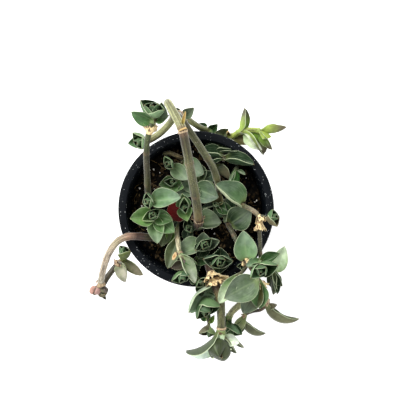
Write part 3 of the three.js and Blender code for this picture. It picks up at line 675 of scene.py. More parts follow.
# %% The table of shoots
SHOOTS = {
    "arching_shoot": {
        "thick": 6, "head": [120, 12, 4, 0.5, 200, 60], "tones": ["sage", "sage", "deep"],
        "route": [[1.5, -11, 78], [1.5, -6, 92], [0, 6, 109], [-3, 22, 125], [-6, 38, 135],
                  [-9, 51.5, 138], [-13, 60, 136], [-17.5, 68, 129], [-18.5, 69.5, 120],
                  [-16.5, 65, 105], [-15, 60, 95], [-18.5, 54.5, 87], [-25.5, 48, 81], [-33, 44, 78]],
        "leaves": [[0.1, 4, 6, 15, 22, -34, 12, 40, "slate"], [0.05, 208, 0, 8, 8, 30, 0, 30, "slate"],
                   [5.2, 76, 30, 10, 3, 0, -15, 40, "straw"], [13, 190, 10, 12, 12, 0, 20, 35, "sage"]],
    },
    "trailing_shoot": {
        "thick": 4.8, "head": [0, 8, 2, 0.4, -58, -10], "tones": ["fresh"],
        "route": [[15, 12, 78], [14.5, 16, 90], [11, 27, 106], [5, 37, 117], [-3, 49, 124],
                  [-9, 58, 122], [-11.5, 61, 113], [-9.5, 61, 103], [-6, 59, 95], [-1, 55.5, 87],
                  [4, 52.5, 79], [10, 50.5, 74], [17, 48.5, 73], [23, 47.5, 76], [28, 50, 80],
                  [34, 51.5, 83], [42, 50.5, 84]],
        "leaves": [[7.2, 36, 25, 10, 9, 20, 20, 30, "slate"], [7, 150, 10, 8, 7, 0, 20, 30, "dusk"],
                   [10.6, 168, 30, 11, 9, 20, 20, 30, "deep"], [10.9, 40, 40, 10, 8, 0, 30, 30, "deep"],
                   [12, 35, 45, 9, 8, 0, 25, 30, "dusk"], [12.4, 168, 30, 10, 9, 0, 25, 30, "dusk"],
                   [12.7, 100, 45, 8, 5, 0, 60, 50, "straw"],
                   [14.2, 86, 8, 15.5, 12, 65, 15, 38, "fresh", "umber"],
                   [13.1, -19, 2, 14, 11, -8, 15, 30, "bronze"],
                   [14.6, -34, -8, 17, 12, 60, 30, 50, "milk"],
                   [15, -50, -3, 19, 15, -40, -20, 44, "fresh", "umber"],
                   [16, -14, 0, 17.5, 11, -84, 46, 60, "fresh", "umber"],
                   [16, -50, -4, 14, 8, 30, 20, 40, "fresh", "umber"]],
    },
    "left_arching_shoot": {
        "thick": 4.5, "head": [140, 14, 5, 0.6, 96, 60], "tones": ["deep", "sage", "deep", "dark"],
        "route": [[-31, 9, 78], [-31.5, 12, 87], [-32, 22, 99], [-32.5, 36, 109], [-31.5, 47, 113],
                  [-29.5, 54, 114], [-27, 60, 114]],
        "leaves": [[5.6, 156, 14, 15, 13, -25, 20, 38, "sage"],
                   [5.8, 12, 15, 10, 11, 0, 20, 34, "sage"], [6, 70, 30, 13, 15, 20, 30, 36, "slate"]],
    },
    "left_trailing_shoot": {
        "thick": 5.4, "head": [60, 7, 4, 0, -30, 55], "closed": True, "tones": ["ash", "umber"],
        "route": [[-26.5, -18, 78], [-30, -18.5, 87], [-37, -18, 93], [-44, -18, 95], [-51, -21, 94],
                  [-57, -29, 90], [-60.5, -39, 82], [-62.5, -49, 72], [-62.5, -53, 66]],
        "leaves": [[7.6, 100, 30, 6, 6, 0, 60, 40, "pink"], [7.9, -60, 0, 8, 5, 0, 40, 40, "ash"]],
        "branches": [{
            "from": 7.6, "thick": 2.6,
            "head": [160, 7, 4, 0, 250, 60], "closed": True, "tones": ["pink", "pink", "ash"],
            "route": [[-65, -51.5, 68]],
        }, {
            "from": 7.9, "thick": 4.6, "head": [-40, 12.5, 3, 0.35, 86, 44], "tones": ["moss", "deep"],
            "route": [[-59, -46, 62], [-55, -40.5, 60], [-51, -35.5, 60], [-47.5, -32.5, 61]],
            "leaves": [[2.7, -80, -5, 15, 13, 30, 15, 34, "dove"],
                       [3, -38, -4, 17, 10, 20, 15, 34, "stone"]],
        }],
    },
    "bottom_shoot": {
        "thick": 6.8, "head": [118, 14.5, 5, 0, -84, 62], "closed": True, "tones": ["night"],
        "route": [[8.5, -35, 79], [10, -41, 90.5], [13, -50, 92.8], [15.5, -58, 92.8], [16.3, -68, 92],
                  [16.4, -79, 89], [15, -88, 83]],
        # This big leaf's tone is painted light: a painted highlight on the upper face and painted shade
        # on the under face.
        "leaves": [[5.1, 234, 0, 30, 17, -42, -62, 53, "painted_light_sickle"],
                   [1.9, 200, -12, 27, 20, -44, 78, 36, "grey", "pale"],
                   [5.5, -16, -5, 12.5, 10, 0, 20, 24, "milk"],
                   [5.3, -50, -20, 17, 7, 40, 10, 34, "dusk"]],
    },
    "bottom_left_shoot": {
        "thick": 3, "head": [30, 16, 4, 0.55, -80, 44], "tones": ["deep", "dark"],
        "route": [[0, -40, 78], [1, -46, 90.5], [2.5, -53, 90.5], [4.5, -58, 88.5]],
        "leaves": [[1.2, 150, 15, 8, 8, 0, 20, 30, "deep"], [1.4, -76, 2, 9, 8, 0, 20, 30, "dark"],
                   [2.6, 240, 5, 14, 11, 0, 25, 30, "sage"], [2.8, -20, 5, 12, 12, 0, 25, 30, "deep"]],
        "branches": [{
            "from": 1.2, "thick": 2.4, "head": [20, 8.5, 3, 0.75, 0, 82], "tones": ["dark"],
            "route": [[2.5, -48, 91]],
        }, {
            "from": 3, "thick": 2.4,
            "head": [195, 9, 3, 0.75, -85, 30], "tones": ["umber", "lime", "deep"],
            "route": [[6, -64, 79], [7.5, -71, 74], [8.5, -76, 71.5]],
            "leaves": [[1.4, 120, 5, 9, 9, 0, 20, 30, "deep"], [1.8, 60, 5, 7, 4.5, 0, 20, 30, "lime"]],
        }],
    },
    "right_arching_shoot": {
        "thick": 3.3, "head": [20, 14, 4, 0.7, -100, 72], "tones": ["deep", "sage", "deep", "dark"],
        "route": [[26, 5, 78], [28, 3.5, 86], [32, 1.5, 92], [37, -1, 95], [41, -5, 97],
                  [41.5, -13, 98], [41.8, -22, 98], [42, -30, 100], [42.5, -37, 103]],
        "leaves": [[1.8, 147, 12, 24, 22, 32, 15, 40, "shield"],
                   [7.8, 26, 14, 14, 11, -30, 15, 36, "deep"],
                   [7.6, 200, 14, 10, 9, 30, 15, 36, "pale"]],
        "branches": [{
            "from": 4, "thick": 2.6,
            "head": [-80, 11, 4, 0.5, 20, 62], "tones": ["umber", "deep", "dark"],
            "route": [[44, -5, 98], [47, -6, 97.5]],
        }, {
            "from": 7.6, "thick": 3,
            "route": [[46, -39, 94], [50, -39.8, 89], [53, -43, 85]],
            "leaves": [[1.6, 72, 8, 18.5, 13, 0, 12, 28, "ivory"],
                       [1, -64, -10, 15, 12, 62, 22, 46, "night"],
                       [1.05, -99, -8, 16, 13, -62, 26, 46, "night"],
                       [1.1, -82, 4, 15.5, 9, -20, 14, 52, "dark"],
                       [1.1, -56, 8, 12, 9, 30, 20, 46, "dark"]],
        }],
    },
    "right_inner_shoot": {
        "thick": 3.3, "head": [0, 7, 3, 0.4, -30, 0], "tones": ["umber"],
        "route": [[20, -8, 78], [20.5, -9.5, 83], [22, -12, 88], [25, -18, 92], [29, -27, 96],
                  [34, -36, 100], [39, -43, 101.5], [42, -49, 97], [45, -56, 89], [46, -63, 82]],
        "leaves": [[1.6, 38, 0, 18, 20, 0, 15, 24, "teal", "slate"],
                   [4.8, 97, 14, 21, 18, 0, 10, 26, "pale"], [6.5, 208, 6, 25, 20, 0, 12, 16, "slate"],
                   [6.8, -88, -12, 17, 15, 0, 15, 28, "sage"],
                   [8.8, -82, -12, 29, 10.5, -84, 118, 74, "dusk"],
                   [8.6, 78, 20, 7, 3.5, 0, 10, 30, "straw"],
                   [7, 240, -14, 22, 17, 0, 15, 26, "bronze", "slate"],
                   [5.5, 40, 20, 8, 7, 0, 30, 34, "dusk"]],
        "branches": [{
            "from": 5, "thick": 2.4,
            "route": [[30.5, -41, 98], [26, -44, 98.8]],
            "leaves": [[0.9, 237, -3, 21, 12, 8, 0, 30, "ivory"],
                       [0.6, -84, -36, 20, 14, 0, 15, 26, "slate"]],
        }, {
            "from": 7.1, "thick": 5.2, "head": [-10, 12, 4, 0.5, -85, 35], "tones": ["deep", "dark"],
            "route": [[38, -54.5, 90], [30, -61.5, 84], [23, -68, 78], [20.5, -74, 74]],
            "leaves": [[3.4, -30, 5, 11, 10, 0, 20, 28, "deep"],
                       [3.8, -56, -5, 16, 6, 60, -15, 34, "dusk"],
                       [2.5, -110, 5, 10, 9, 0, 20, 30, "deep"]],
        }, {
            "from": 9, "thick": 2.6,
            "route": [[42, -66, 79], [37, -67, 75], [32.5, -69, 73], [30.5, -73, 72]],
            "leaves": [[3.3, -112, 0, 10, 8, 0, 10, 30, "dusk"],
                       [3.8, -84, -5, 20, 8.5, -84, 112, 74, "dusk"],
                       [2.4, 236, 5, 14, 9, 0, 10, 30, "beige"]],
        }],
    },
    "front_rosette": {
        "thick": 3.4, "head": [170, 13, 5, 0.75, -90, 84], "tones": ["teal", "teal", "dark"],
        "route": [[16, -31, 78], [16, -32.5, 85], [15.5, -33.5, 90]],
        "leaves": [[1.7, 88, 22, 10, 14, 0, 30, 24, "teal"], [1.7, -94, 20, 11, 15, 0, 30, 24, "teal"]],
    },
    "middle_rosette": {
        "thick": 3.2, "head": [15, 11.5, 5, 0.75, 40, 84], "tones": ["slate", "teal", "dark"],
        "route": [[4.5, -20, 78], [5, -22, 83], [5.5, -23.5, 86]],
        "leaves": [[1.6, 205, 3, 20, 17, 30, 10, 30, "grey"],
                   [1.4, -110, 12, 11, 13, 0, 25, 25, "dark"],
                   [1.5, 92, 20, 9, 13, 0, 25, 25, "slate"]],
    },
    "front_left_shoot": {
        "thick": 3.3, "head": [200, 10.5, 4, 0.6, -90, 60], "tones": ["deep", "dark"],
        "route": [[-12.5, -9, 78], [-12.5, -15, 84], [-12, -21, 89], [-11, -28, 93], [-8, -34, 93],
                  [-8.5, -41, 92]],
        "leaves": [[1.8, 252, 4, 20, 12, 0, 12, 28, "dusk"],
                   [3.6, -66, 6, 19, 12, -30, 15, 38, "chalk"], [4.2, 200, 10, 9, 8, 0, 20, 30, "ash"],
                   [3.3, -28, 4, 12, 9, 30, 10, 34, "sage"]],
    },
    "left_rosette": {
        "thick": 3.6, "head": [206, 10, 4, 0.7, 90, 84], "tones": ["spring", "deep"],
        "route": [[-24.5, -7, 78], [-26, -5.5, 85], [-27.5, -4.5, 90]],
        "leaves": [[1.5, -84, 12, 18, 14, 0, 10, 30, "spring", "pale"],
                   [1.6, -38, 8, 17, 15, 0, 15, 26, "sage"],
                   [1.9, 186, 16, 16, 16, 0, 12, 30, "spring"],
                   [1.8, -12, 16, 13, 13, 0, 12, 30, "sage"]],
    },
    "upper_left_rosette": {
        "thick": 3, "head": [95, 10, 4, 0.5, 200, 75], "tones": ["dark", "deep"],
        "route": [[-28, 3, 78], [-29, 4, 88], [-29.5, 5, 97]],
        "leaves": [[1.9, 6, 15, 20.5, 18, -10, 10, 38, "pale"]],
    },
    "red_leaved_shoot": {
        "thick": 2.8, "head": [92, 9.5, 3, 0.6, -60, 82], "tones": ["sage", "deep"],
        "route": [[-6.5, 0.5, 78], [-7.5, 1, 85], [-8, 1.5, 90]],
        "leaves": [[1.1, 206, 4, 12, 15, 0, -25, -10, "red"], [1.8, 96, 30, 11, 12, 0, 25, 24, "sage"],
                   [1.85, -76, 24, 11.5, 12, 0, 22, 24, "sage", "spring"]],
    },
    "back_left_rosette": {
        "thick": 2.8, "head": [174, 8, 3, 0.6, 100, 80], "tones": ["teal", "dark"],
        "route": [[-14, 15, 77.5], [-15, 16.5, 80]],
        "leaves": [[0.6, -70, 12, 9, 8, 0, 10, 28, "sage"], [0.9, 184, 22, 11, 13, 0, 30, 24, "sage"],
                   [0.95, -22, 22, 9.5, 12, 0, 30, 24, "sage"]],
    },
    "back_left_bud": {
        "thick": 2.6, "head": [120, 8.5, 4, 0.6, 170, 74], "tones": ["deep", "dark"],
        "route": [[-15, 28, 78], [-16, 28.5, 87]],
        "leaves": [[0.8, -42, 12, 14.5, 12, 0, 10, 26, "grey"]],
    },
    "back_rosette": {
        "thick": 3, "head": [20, 2.5, 3, 0.4, 60, 80], "tones": ["deep"],
        "route": [[3, 17, 77], [3, 18, 79.5]],
        "leaves": [[0.7, 190, 5, 15, 16, 0, 15, 22, "slate"], [0.8, -58, 6, 15, 15, 0, 15, 22, "sage"],
                   [0.9, 104, 8, 14, 13, 0, 15, 22, "slate"], [0.9, 30, 14, 12, 12, 0, 15, 24, "teal"]],
    },
    "back_right_rosette": {
        "thick": 3.6,
        "route": [[15, 38, 77.5], [16, 37, 80], [17.5, 34.5, 83], [18.5, 31.5, 86.5]],
        "leaves": [[0.2, 62, -4, 8, 9, 0, 15, 30, "fir"], [0.3, 160, 2, 10, 9, 30, 20, 40, "fir"],
                   [1.3, 10, 36, 12.5, 11, -46, -16, 52, "fir"],
                   [2.3, 171, 4, 17, 15, 46, 10, 52, "fir"], [2.2, 214, -12, 9, 8, 30, 20, 40, "fir"],
                   [2.6, 196, -8, 12, 11, 46, 20, 52, "fir"],
                   [2.8, -17, 7, 20, 15.5, -46, 20, 52, "fir"]],
    },
    "right_bud": {
        "thick": 2.4,
        "route": [[26.5, 27.5, 78], [26.5, 25, 81]],
        "leaves": [[0.9, 246, 14, 10, 4, 60, 15, 40, "pale"], [0.9, -36, 24, 7, 4, -50, 15, 40, "pale"],
                   [0.6, -70, 10, 13, 10, 100, 40, 46, "fern"],
                   [0.7, -96, 20, 11, 6, 50, 30, 44, "fern"]],
    },
    "middle_bud": {
        "thick": 2.4, "head": [100, 9, 3, 0.7, 90, 80], "tones": ["teal", "dark"],
        "route": [[-5, -13, 78], [-5, -13, 80]],
        "leaves": [[0.5, -100, 14, 9, 9, 0, 12, 24, "teal"]],
    },
    "middle_right_bud": {
        "thick": 2.4, "head": [150, 4.5, 3, 0.5, 90, 76], "tones": ["deep", "dark"],
        "route": [[13, 3, 78], [13.5, 2, 80]],
        "leaves": [[0.7, -24, 12, 12, 10, 0, 12, 26, "deep"], [0.5, 196, 10, 10, 6, 40, 10, 40, "teal"],
                   [0.4, 74, 14, 9, 10, 0, 15, 30, "bronze"], [0.5, -60, 6, 9, 8, 30, 12, 30, "dark"]],
    },
    "old_stem": {
        "thick": 3.4,
        "route": [[-9, 33, 77], [-12, 34.5, 79.5], [-17, 36.5, 79.5], [-22, 36, 78.5]],
    },
}

# Small leaves close to the soil. They fill the places between the shoots, where the plant
# is dense.
LOW_SHOOTS = {
    "middle": {
        "thick": 2.2,
        "route": [[-1.5, 14, 77.5], [-1.5, 14, 81]],
        "leaves": [[0.9, -22, 8, 18, 17, 0, 12, 18, "slate"],
                   [0.8, 198, 10, 12, 12, 0, 12, 20, "slate"],
                   [0.7, -78, 12, 10, 9, 0, 15, 26, "deep"]],
    },
    "disc": {
        "thick": 2.2,
        "route": [[-9, 30, 77.5], [-9.5, 30.5, 81]],
        "leaves": [[0.9, -28, 6, 17, 15, 0, 12, 16, "grey"]],
    },
    "left": {
        "thick": 2.2,
        "route": [[-17, -11, 77.5], [-17.5, -12, 81]],
        "leaves": [[0.9, -112, 8, 14, 10, 0, 12, 26, "dusk"], [0.8, -70, 10, 15, 9, 20, 12, 30, "lime"],
                   [0.6, 40, 20, 8, 8, 0, 12, 30, "teal"]],
    },
    "front": {
        "thick": 2.2,
        "route": [[-1, -33, 77.5], [-1, -34, 82]],
        "leaves": [[0.9, 200, 14, 10, 9, 0, 15, 30, "dark"], [0.8, 10, 14, 12, 10, 0, 15, 30, "deep"],
                   [0.7, -80, 14, 10, 9, 0, 15, 30, "dark"]],
    },
    "corner": {
        "thick": 2,
        "route": [[31, -37, 88], [30, -37.5, 92]],
        "leaves": [[0.8, 180, 40, 6, 6, 0, 30, 40, "dark"], [0.8, 0, 40, 6, 6, 0, 30, 40, "dusk"],
                   [0.6, 270, 40, 6, 6, 0, 30, 40, "deep"]],
    },
    "right": {
        "thick": 2.2,
        "route": [[24, -1, 77.5], [24, -1.5, 80]],
        "leaves": [[0.9, 236, 14, 10, 7, 30, 15, 36, "dusk"], [0.7, 120, 14, 10, 9, 0, 15, 30, "teal"]],
    },
    "back": {
        "thick": 2.2,
        "route": [[13, 37, 77.5], [13, 38, 80.5]],
        "leaves": [[0.9, -3, 18, 13, 13, -46, 14, 50, "fir"]],
    },
    "under_stem": {
        "thick": 2.2,
        "route": [[11.5, 28, 77.5], [11.5, 28, 80]],
        "leaves": [[0.9, -48, 2, 14, 12, -100, 20, 50, "night", "umber"]],
    },
}

print("shoots:", len(SHOOTS), "low shoots:", len(LOW_SHOOTS))


# %% [markdown]
# A stem's line is a smooth curve through its places. It is the centripetal Catmull-Rom curve that
# the solids use, so both agree to a hair. It starts at the root, below the soil, or where a
# branch forks off. It ends at the last place, or inside the head where there is one.

# %% Lines of the stems
EYE_HEIGHT_MM = EYE_HEIGHT / MM
RIM_HEIGHT_MM = RIM_HEIGHT / MM
EYE_OVER_MM = np.array(EYE_OVER) / MM
ROOT_DEPTH = 11
STEM_TAPER = 0.25
BUD_LENGTH = 0.62
SMALL_STEP = 1e-4


def unit(vector):
    return vector / np.linalg.norm(vector)


def square_to(axis, vector):
    """The part of a vector that stands square to an axis, one long."""
    return unit(vector - axis * np.dot(vector, axis))


def column(values):
    """One number for each vertex, ready to be multiplied with a direction."""
    return values[:, None]


def mix(low, high, share):
    return low + (high - low) * share


def placed(place):
    across, back, height = place
    drawn_in = (EYE_HEIGHT_MM + RIM_HEIGHT_MM - height) / EYE_HEIGHT_MM
    flat = EYE_OVER_MM + (np.array((across, back)) - EYE_OVER_MM) * drawn_in
    return np.array((flat[0], flat[1], height))


def direction(heading, rise):
    turn, up = math.radians(heading), math.radians(rise)
    return np.array((math.cos(up) * math.cos(turn), math.cos(up) * math.sin(turn), math.sin(up)))


def turned(vector, axis, angle):
    return (vector * math.cos(angle) + np.cross(axis, vector) * math.sin(angle)
            + axis * np.dot(axis, vector) * (1 - math.cos(angle)))


def line_points(limb, start=None):
    points = [placed(place) for place in limb["route"]]
    root = np.array((points[0][0], points[0][1], SOIL_TOP / MM - ROOT_DEPTH))
    points.insert(0, root if start is None else start)
    if "head" in limb:
        _, largest, _, _, heading, rise = limb["head"]
        points.append(points[-1] + direction(heading, rise) * BUD_LENGTH * largest)
    return points


def line_at(points, share):
    spans = len(points) - 1
    k = min(int(share * spans), spans - 1)
    t = share * spans - k
    p1, p2 = points[k], points[k + 1]
    p0 = points[k - 1] if k > 0 else 2 * p1 - p2
    p3 = points[k + 2] if k + 2 <= spans else 2 * p2 - p1
    d0, d1, d2 = [max(np.linalg.norm(b - a), 1e-8) ** 0.5 for a, b in ((p0, p1), (p1, p2), (p2, p3))]
    m1 = ((p1 - p0) / d0 - (p2 - p0) / (d0 + d1) + (p2 - p1) / d1) * d1
    m2 = ((p2 - p1) / d1 - (p3 - p1) / (d1 + d2) + (p3 - p2) / d2) * d1
    return (p1 + m1 * t + (3 * (p2 - p1) - 2 * m1 - m2) * t * t
            + (2 * (p1 - p2) + m1 + m2) * t * t * t)


def heading_at(points, share):
    ahead = line_at(points, min(1, share + SMALL_STEP))
    return unit(ahead - line_at(points, max(0, share - SMALL_STEP)))


def share_of(points, place):
    """The share of the whole line at a number in the route, where the root counts as -1."""
    return min(1.0, (place + 1) / (len(points) - 1))


def stations(points, step):
    """Shares along a line, about a step of millimetres apart."""
    shares = [0.0]
    spans = len(points) - 1
    for k in range(spans):
        count = max(2, round(np.linalg.norm(points[k + 1] - points[k]) / step))
        shares += [(k + i / count) / spans for i in range(1, count + 1)]
    return shares


# %% [markdown]
# The colour of a stem changes along it, from grey old wood through brown and pink to fresh
# green, so each vertex carries its tone. Leaves have tones too, one for each face.

# %% Tones
TONES = {
    "umber": (71, 67, 47), "olive": (100, 106, 66), "grey": (106, 110, 70), "pink": (142, 110, 92),
    "tan": (130, 116, 80), "beige": (178, 168, 142), "lime": (134, 142, 88), "glow": (186, 208, 104),
    "bark": (57, 48, 32), "plum": (71, 47, 42), "cream": (214, 208, 176), "reed": (176, 180, 134),
    "rose": (176, 140, 122), "shell": (222, 206, 188), "silver": (204, 202, 186),
    "sage": (89, 103, 68), "moss": (71, 87, 49),
}

# Each leaf tone has a colour for the upper face and one for the under face.
LEAF_TONES = {
    "sage": ((84, 114, 74), (116, 142, 102)), "pale": ((112, 132, 106), (144, 160, 132)),
    "deep": ((38, 66, 32), (80, 110, 72)), "dark": ((22, 42, 20), (60, 86, 56)),
    "grey": ((104, 121, 102), (132, 146, 124)), "lime": ((106, 134, 62), (140, 160, 102)),
    "fresh": ((126, 154, 56), (148, 172, 76)), "dusk": ((84, 92, 70), (92, 96, 72)),
    "teal": ((28, 46, 30), (58, 78, 58)), "red": ((86, 5, 4), (80, 6, 6)),
    "pink": ((150, 112, 104), (156, 122, 112)), "ash": ((64, 56, 50), (86, 76, 68)),
    "dove": ((158, 156, 142), (166, 164, 150)), "stone": ((116, 114, 94), (132, 130, 110)),
    "chalk": ((138, 148, 132), (160, 170, 150)), "straw": ((168, 138, 84), (184, 154, 102)),
    "umber": ((74, 70, 52), (90, 86, 66)), "slate": ((88, 102, 86), (108, 122, 104)),
    # The first tone on the next line is painted shade: the dark foot of every rosette leaf.
    # The sickle tone on the next line is painted light: its near-white upper face is a painted
    # highlight, and its dark under face is painted shade.
    "painted_rosette_shade": ((12, 33, 9), (46, 70, 38)), "painted_light_sickle": ((224, 228, 218), (58, 68, 44)),
    "beige": ((150, 152, 122), (160, 162, 136)), "bronze": ((92, 84, 56), (104, 94, 66)),
    "moss": ((60, 78, 34), (84, 96, 50)), "spring": ((98, 130, 78), (132, 156, 108)),
    "ivory": ((168, 180, 150), (174, 186, 158)), "milk": ((206, 212, 198), (196, 204, 190)),
    # The fir tone is a dark green that is made darker still as painted shade for the back right leaves.
    "fern": ((26, 66, 18), (48, 92, 36)), "fir": ((26, 47, 25), (46, 68, 43)),
    "night": ((34, 48, 24), (50, 60, 36)), "shield": ((80, 102, 80), (172, 186, 152)),
}

# Tones along each stem, as (number in its route, tone). A branch is given by its shoot and number.
STEM_TONES = {
    "arching_shoot": [(-1, "bark"), (0, "pink"), (0.7, "pink"), (1.2, "tan"), (2, "grey"),
                      (3.5, "grey"), (4.6, "umber"), (4.9, "pink"), (5.3, "reed"), (7, "reed"),
                      (9, "lime"), (12, "reed"), (13, "tan")],
    "trailing_shoot": [(-1, "bark"), (0.5, "grey"), (2, "grey"), (3.4, "olive"), (5, "umber"),
                       (7, "reed"), (9, "lime"), (11, "lime"), (12.6, "glow"), (16, "glow")],
    "left_arching_shoot": [(-1, "bark"), (1, "olive"), (2.6, "umber"), (3.5, "moss"), (5, "sage")],
    "left_trailing_shoot": [(-1, "umber"), (1.5, "umber"), (1.8, "plum"), (2.3, "plum"), (3, "rose"),
                            (4, "beige"), (5, "shell"), (6, "shell"), (7, "silver"), (8, "shell")],
    "left_trailing_shoot 1": [(-1, "bark"), (0.6, "umber"), (1.6, "bark"), (2.2, "pink"), (3, "lime")],
    "bottom_shoot": [(-1, "bark"), (2, "plum"), (2.6, "tan"), (3.4, "grey"), (4.8, "grey"),
                     (5.1, "pink"), (6, "olive")],
    "bottom_left_shoot": [(-1, "umber"), (2, "sage"), (3, "moss")],
    "right_arching_shoot": [(-1, "bark"), (2, "olive"), (3, "beige"), (4, "tan"), (5, "umber"),
                            (8, "moss")],
    "right_inner_shoot": [(-1, "bark"), (2, "umber"), (4, "moss"), (6, "plum"), (7.5, "pink"),
                          (8.4, "umber"), (9, "pink")],
    "right_inner_shoot 1": [(-1, "umber"), (0.4, "reed"), (2.2, "reed"), (3, "lime")],
    "right_inner_shoot 2": [(-1, "pink"), (0.3, "bark"), (1.6, "bark"), (2.4, "tan"), (3, "moss")],
    "front_left_shoot": [(-1, "umber"), (0.6, "lime"), (1.4, "cream"), (3, "cream"), (4, "sage")],
    "old_stem": [(-1, "umber"), (1, "tan"), (3, "olive")],
}
USUAL_STEM = [(-1, "umber"), (1, "sage"), (3, "moss")]


def linear(screen):
    return np.array(colour(*screen))


def tones_along(stops, places):
    """The tone at each place of a route, smoothly between the stops of a list."""
    marks = [place for place, _ in stops]
    levels = np.array([linear(TONES[tone]) for _, tone in stops])
    return np.stack([np.interp(places, marks, levels[:, i]) for i in range(4)], axis=1)


print("stem tones:", len(TONES), "leaf tones:", len(LEAF_TONES))


# %% [markdown]
# A stem is a flat grid wrapped round its line and welded at the seam. The grid brings its own UV
# map, round and along the stem, and every ring can have its own width: a real stem swells at each
# node, where a leaf has stood, and an old one is a little uneven. The ends close to a point.
# Beside its tone, each vertex carries how much of a scar it lies in.

# %% Stems
STEM_SIDES = 18
STEM_STEP = 1.0
NODE_GAP = (18.0, 30.0)
NODE_APART, TIP_CLEAR = 5, 4
NODE_WIDTH, NODE_SWELL = 1.1, 0.1
UNEVEN, UNEVEN_SCALE = 0.05, 0.16
SCAR_PAST, SCAR_WIDTH, SCAR_EVEN, SCAR_PATCHY = 0.5, 0.8, 0.6, 0.4
FAR_OFF = 99.0
BUD_NECK = 0.25
FIRST_NORMAL = (1.0, 0.2, 0.1)
STEM_WELD = 0.004 * MM


def node_places(points, limb, draw):
    """Lengths along the line at which the stem has a node, then its shares, lengths and spots."""
    shares = stations(points, STEM_STEP)
    spots = np.array([line_at(points, share) for share in shares])
    lengths = np.concatenate([[0], np.cumsum(np.linalg.norm(np.diff(spots, axis=0), axis=1))])
    stands = [leaf[0] for leaf in limb.get("leaves", [])]
    nodes = [float(np.interp(share_of(points, place), shares, lengths)) for place in stands]
    at = ROOT_DEPTH + draw.uniform(*NODE_GAP)
    while at < lengths[-1] - TIP_CLEAR:
        if all(abs(at - node) > NODE_APART for node in nodes):
            nodes.append(at)
        at += draw.uniform(*NODE_GAP)
    return np.array(nodes), np.array(shares), lengths, spots


def stem_radii(limb, points, shares):
    spans = len(points) - 1
    bud_from = (spans - 1) / spans if "head" in limb else 1.0
    full = 0.5 * limb["thick"]
    thinned = full * (1 - STEM_TAPER)
    in_bud = np.clip((shares - bud_from) / max(1 - bud_from, 1e-9), 0, 1)
    return np.where(shares <= bud_from, mix(full, thinned, shares / bud_from),
                    thinned * (1 - in_bud) + BUD_NECK * in_bud)


def line_on(limb, points, place):
    """The centre, the heading and the radius of a stem at a number in its route."""
    share = share_of(points, place)
    radius = float(stem_radii(limb, points, np.array([share]))[0])
    return line_at(points, share), heading_at(points, share), radius


def wrapped_grid(name, centres, radii):
    """A tube from a flat grid: it is wrapped round the centres, with a radius for each."""
    rings = len(centres)
    tube = new_grid(STEM_SIDES, rings - 1)
    tube.name = name
    flat = places_of(tube)
    turn = (flat[:, 0] + 0.5) * 2 * math.pi
    ring = np.rint((flat[:, 1] + 0.5) * (rings - 1)).astype(int)
    normal = np.array(FIRST_NORMAL)
    normals, sideways = [], []
    for line in np.gradient(centres, axis=0):
        line = unit(line)
        normal = square_to(line, normal)
        normals.append(normal)
        sideways.append(np.cross(line, normal))
    set_places(tube, centres[ring] + np.array(normals)[ring] * column(radii[ring] * np.cos(turn))
               + np.array(sideways)[ring] * column(radii[ring] * np.sin(turn)))
    return tube, ring, turn


def set_values(piece, name, values):
    """Stores a colour or a number for each vertex, for the finish to read."""
    kind = "FLOAT_COLOR" if values.ndim == 2 else "FLOAT"
    layer = piece.data.attributes.new(name, kind, "POINT")
    layer.data.foreach_set("color" if values.ndim == 2 else "value", values.ravel())


def make_stem(name, limb, points, stops, draw):
    nodes, shares, lengths, spots = node_places(points, limb, draw)
    radii = stem_radii(limb, points, shares)
    nearest = np.full(len(lengths), FAR_OFF)
    if len(nodes):
        nearest = np.abs(lengths[:, None] - nodes[None, :]).min(axis=1)
    swelling = np.exp(-(nearest / NODE_WIDTH) ** 2)
    wobble = np.array([noise.noise(Vector(spot) * UNEVEN_SCALE) for spot in spots])
    radii = radii * (1 + NODE_SWELL * swelling + UNEVEN * wobble)
    radii[0] = radii[-1] = 0
    stem, ring, turn = wrapped_grid(name, spots, radii)
    places = shares[ring] * (len(points) - 1) - 1
    set_values(stem, "stem_tone", tones_along(stops, places))
    patchy = SCAR_EVEN + SCAR_PATCHY * np.cos(turn * 2 + lengths[ring])
    scar = np.exp(-((nearest[ring] - SCAR_PAST) / SCAR_WIDTH) ** 2) * patchy
    set_values(stem, "stem_scar", scar)
    weld(stem, STEM_WELD)
    return stem


def stem_finish():
    material, tree, shader = start_material("leafy_stem")
    around, along, _ = split(tree, uv_place(tree))
    place = object_place(tree)
    streaks = place_group(tree, STREAKS, Across=around, Along=along, Density=16.0, Length=9.0)["Value"]
    blotches = cloudy(tree, place, scale=330.0, detail=4.0, rough=0.6)
    grain = cloudy(tree, place, scale=1500.0, detail=3.0, rough=0.7)
    specks = place_group(tree, SPECKLE, Vector=place, Scale=1100.0, Amount=0.5)["Mask"]
    shade = blend(tree, spread(tree, streaks, 0.3, 0.7), (0.22, 0.21, 0.19, 1), (1.02, 1.0, 0.9, 1))
    base = blend(tree, 1.0, stored(tree, "stem_tone", "Color"), shade, "MULTIPLY")
    base = blend(tree, spread(tree, blotches, 0.54, 0.74, 0.0, 0.5), base, colour(70, 46, 36))
    base = blend(tree, spread(tree, grain, 0.35, 0.65, 0.45, 0.0), base, colour(44, 38, 28))
    base = stain(tree, base, specks, 0.3, colour(170, 166, 140))
    base = stain(tree, base, stored(tree, "stem_scar"), 0.45, colour(118, 92, 68))
    feed(tree, shader, Base_Color=base, Roughness=spread(tree, blotches, 0.3, 0.7, 0.45, 0.62),
         Sheen_Weight=0.5, Sheen_Roughness=0.3, Specular_IOR_Level=0.35)
    height = maths(tree, "ADD", streaks, maths(tree, "MULTIPLY", blotches, 0.6))
    add_bump(tree, shader, height, depth=0.22 * MM, strength=0.8)
    return material


STEM = stem_finish()


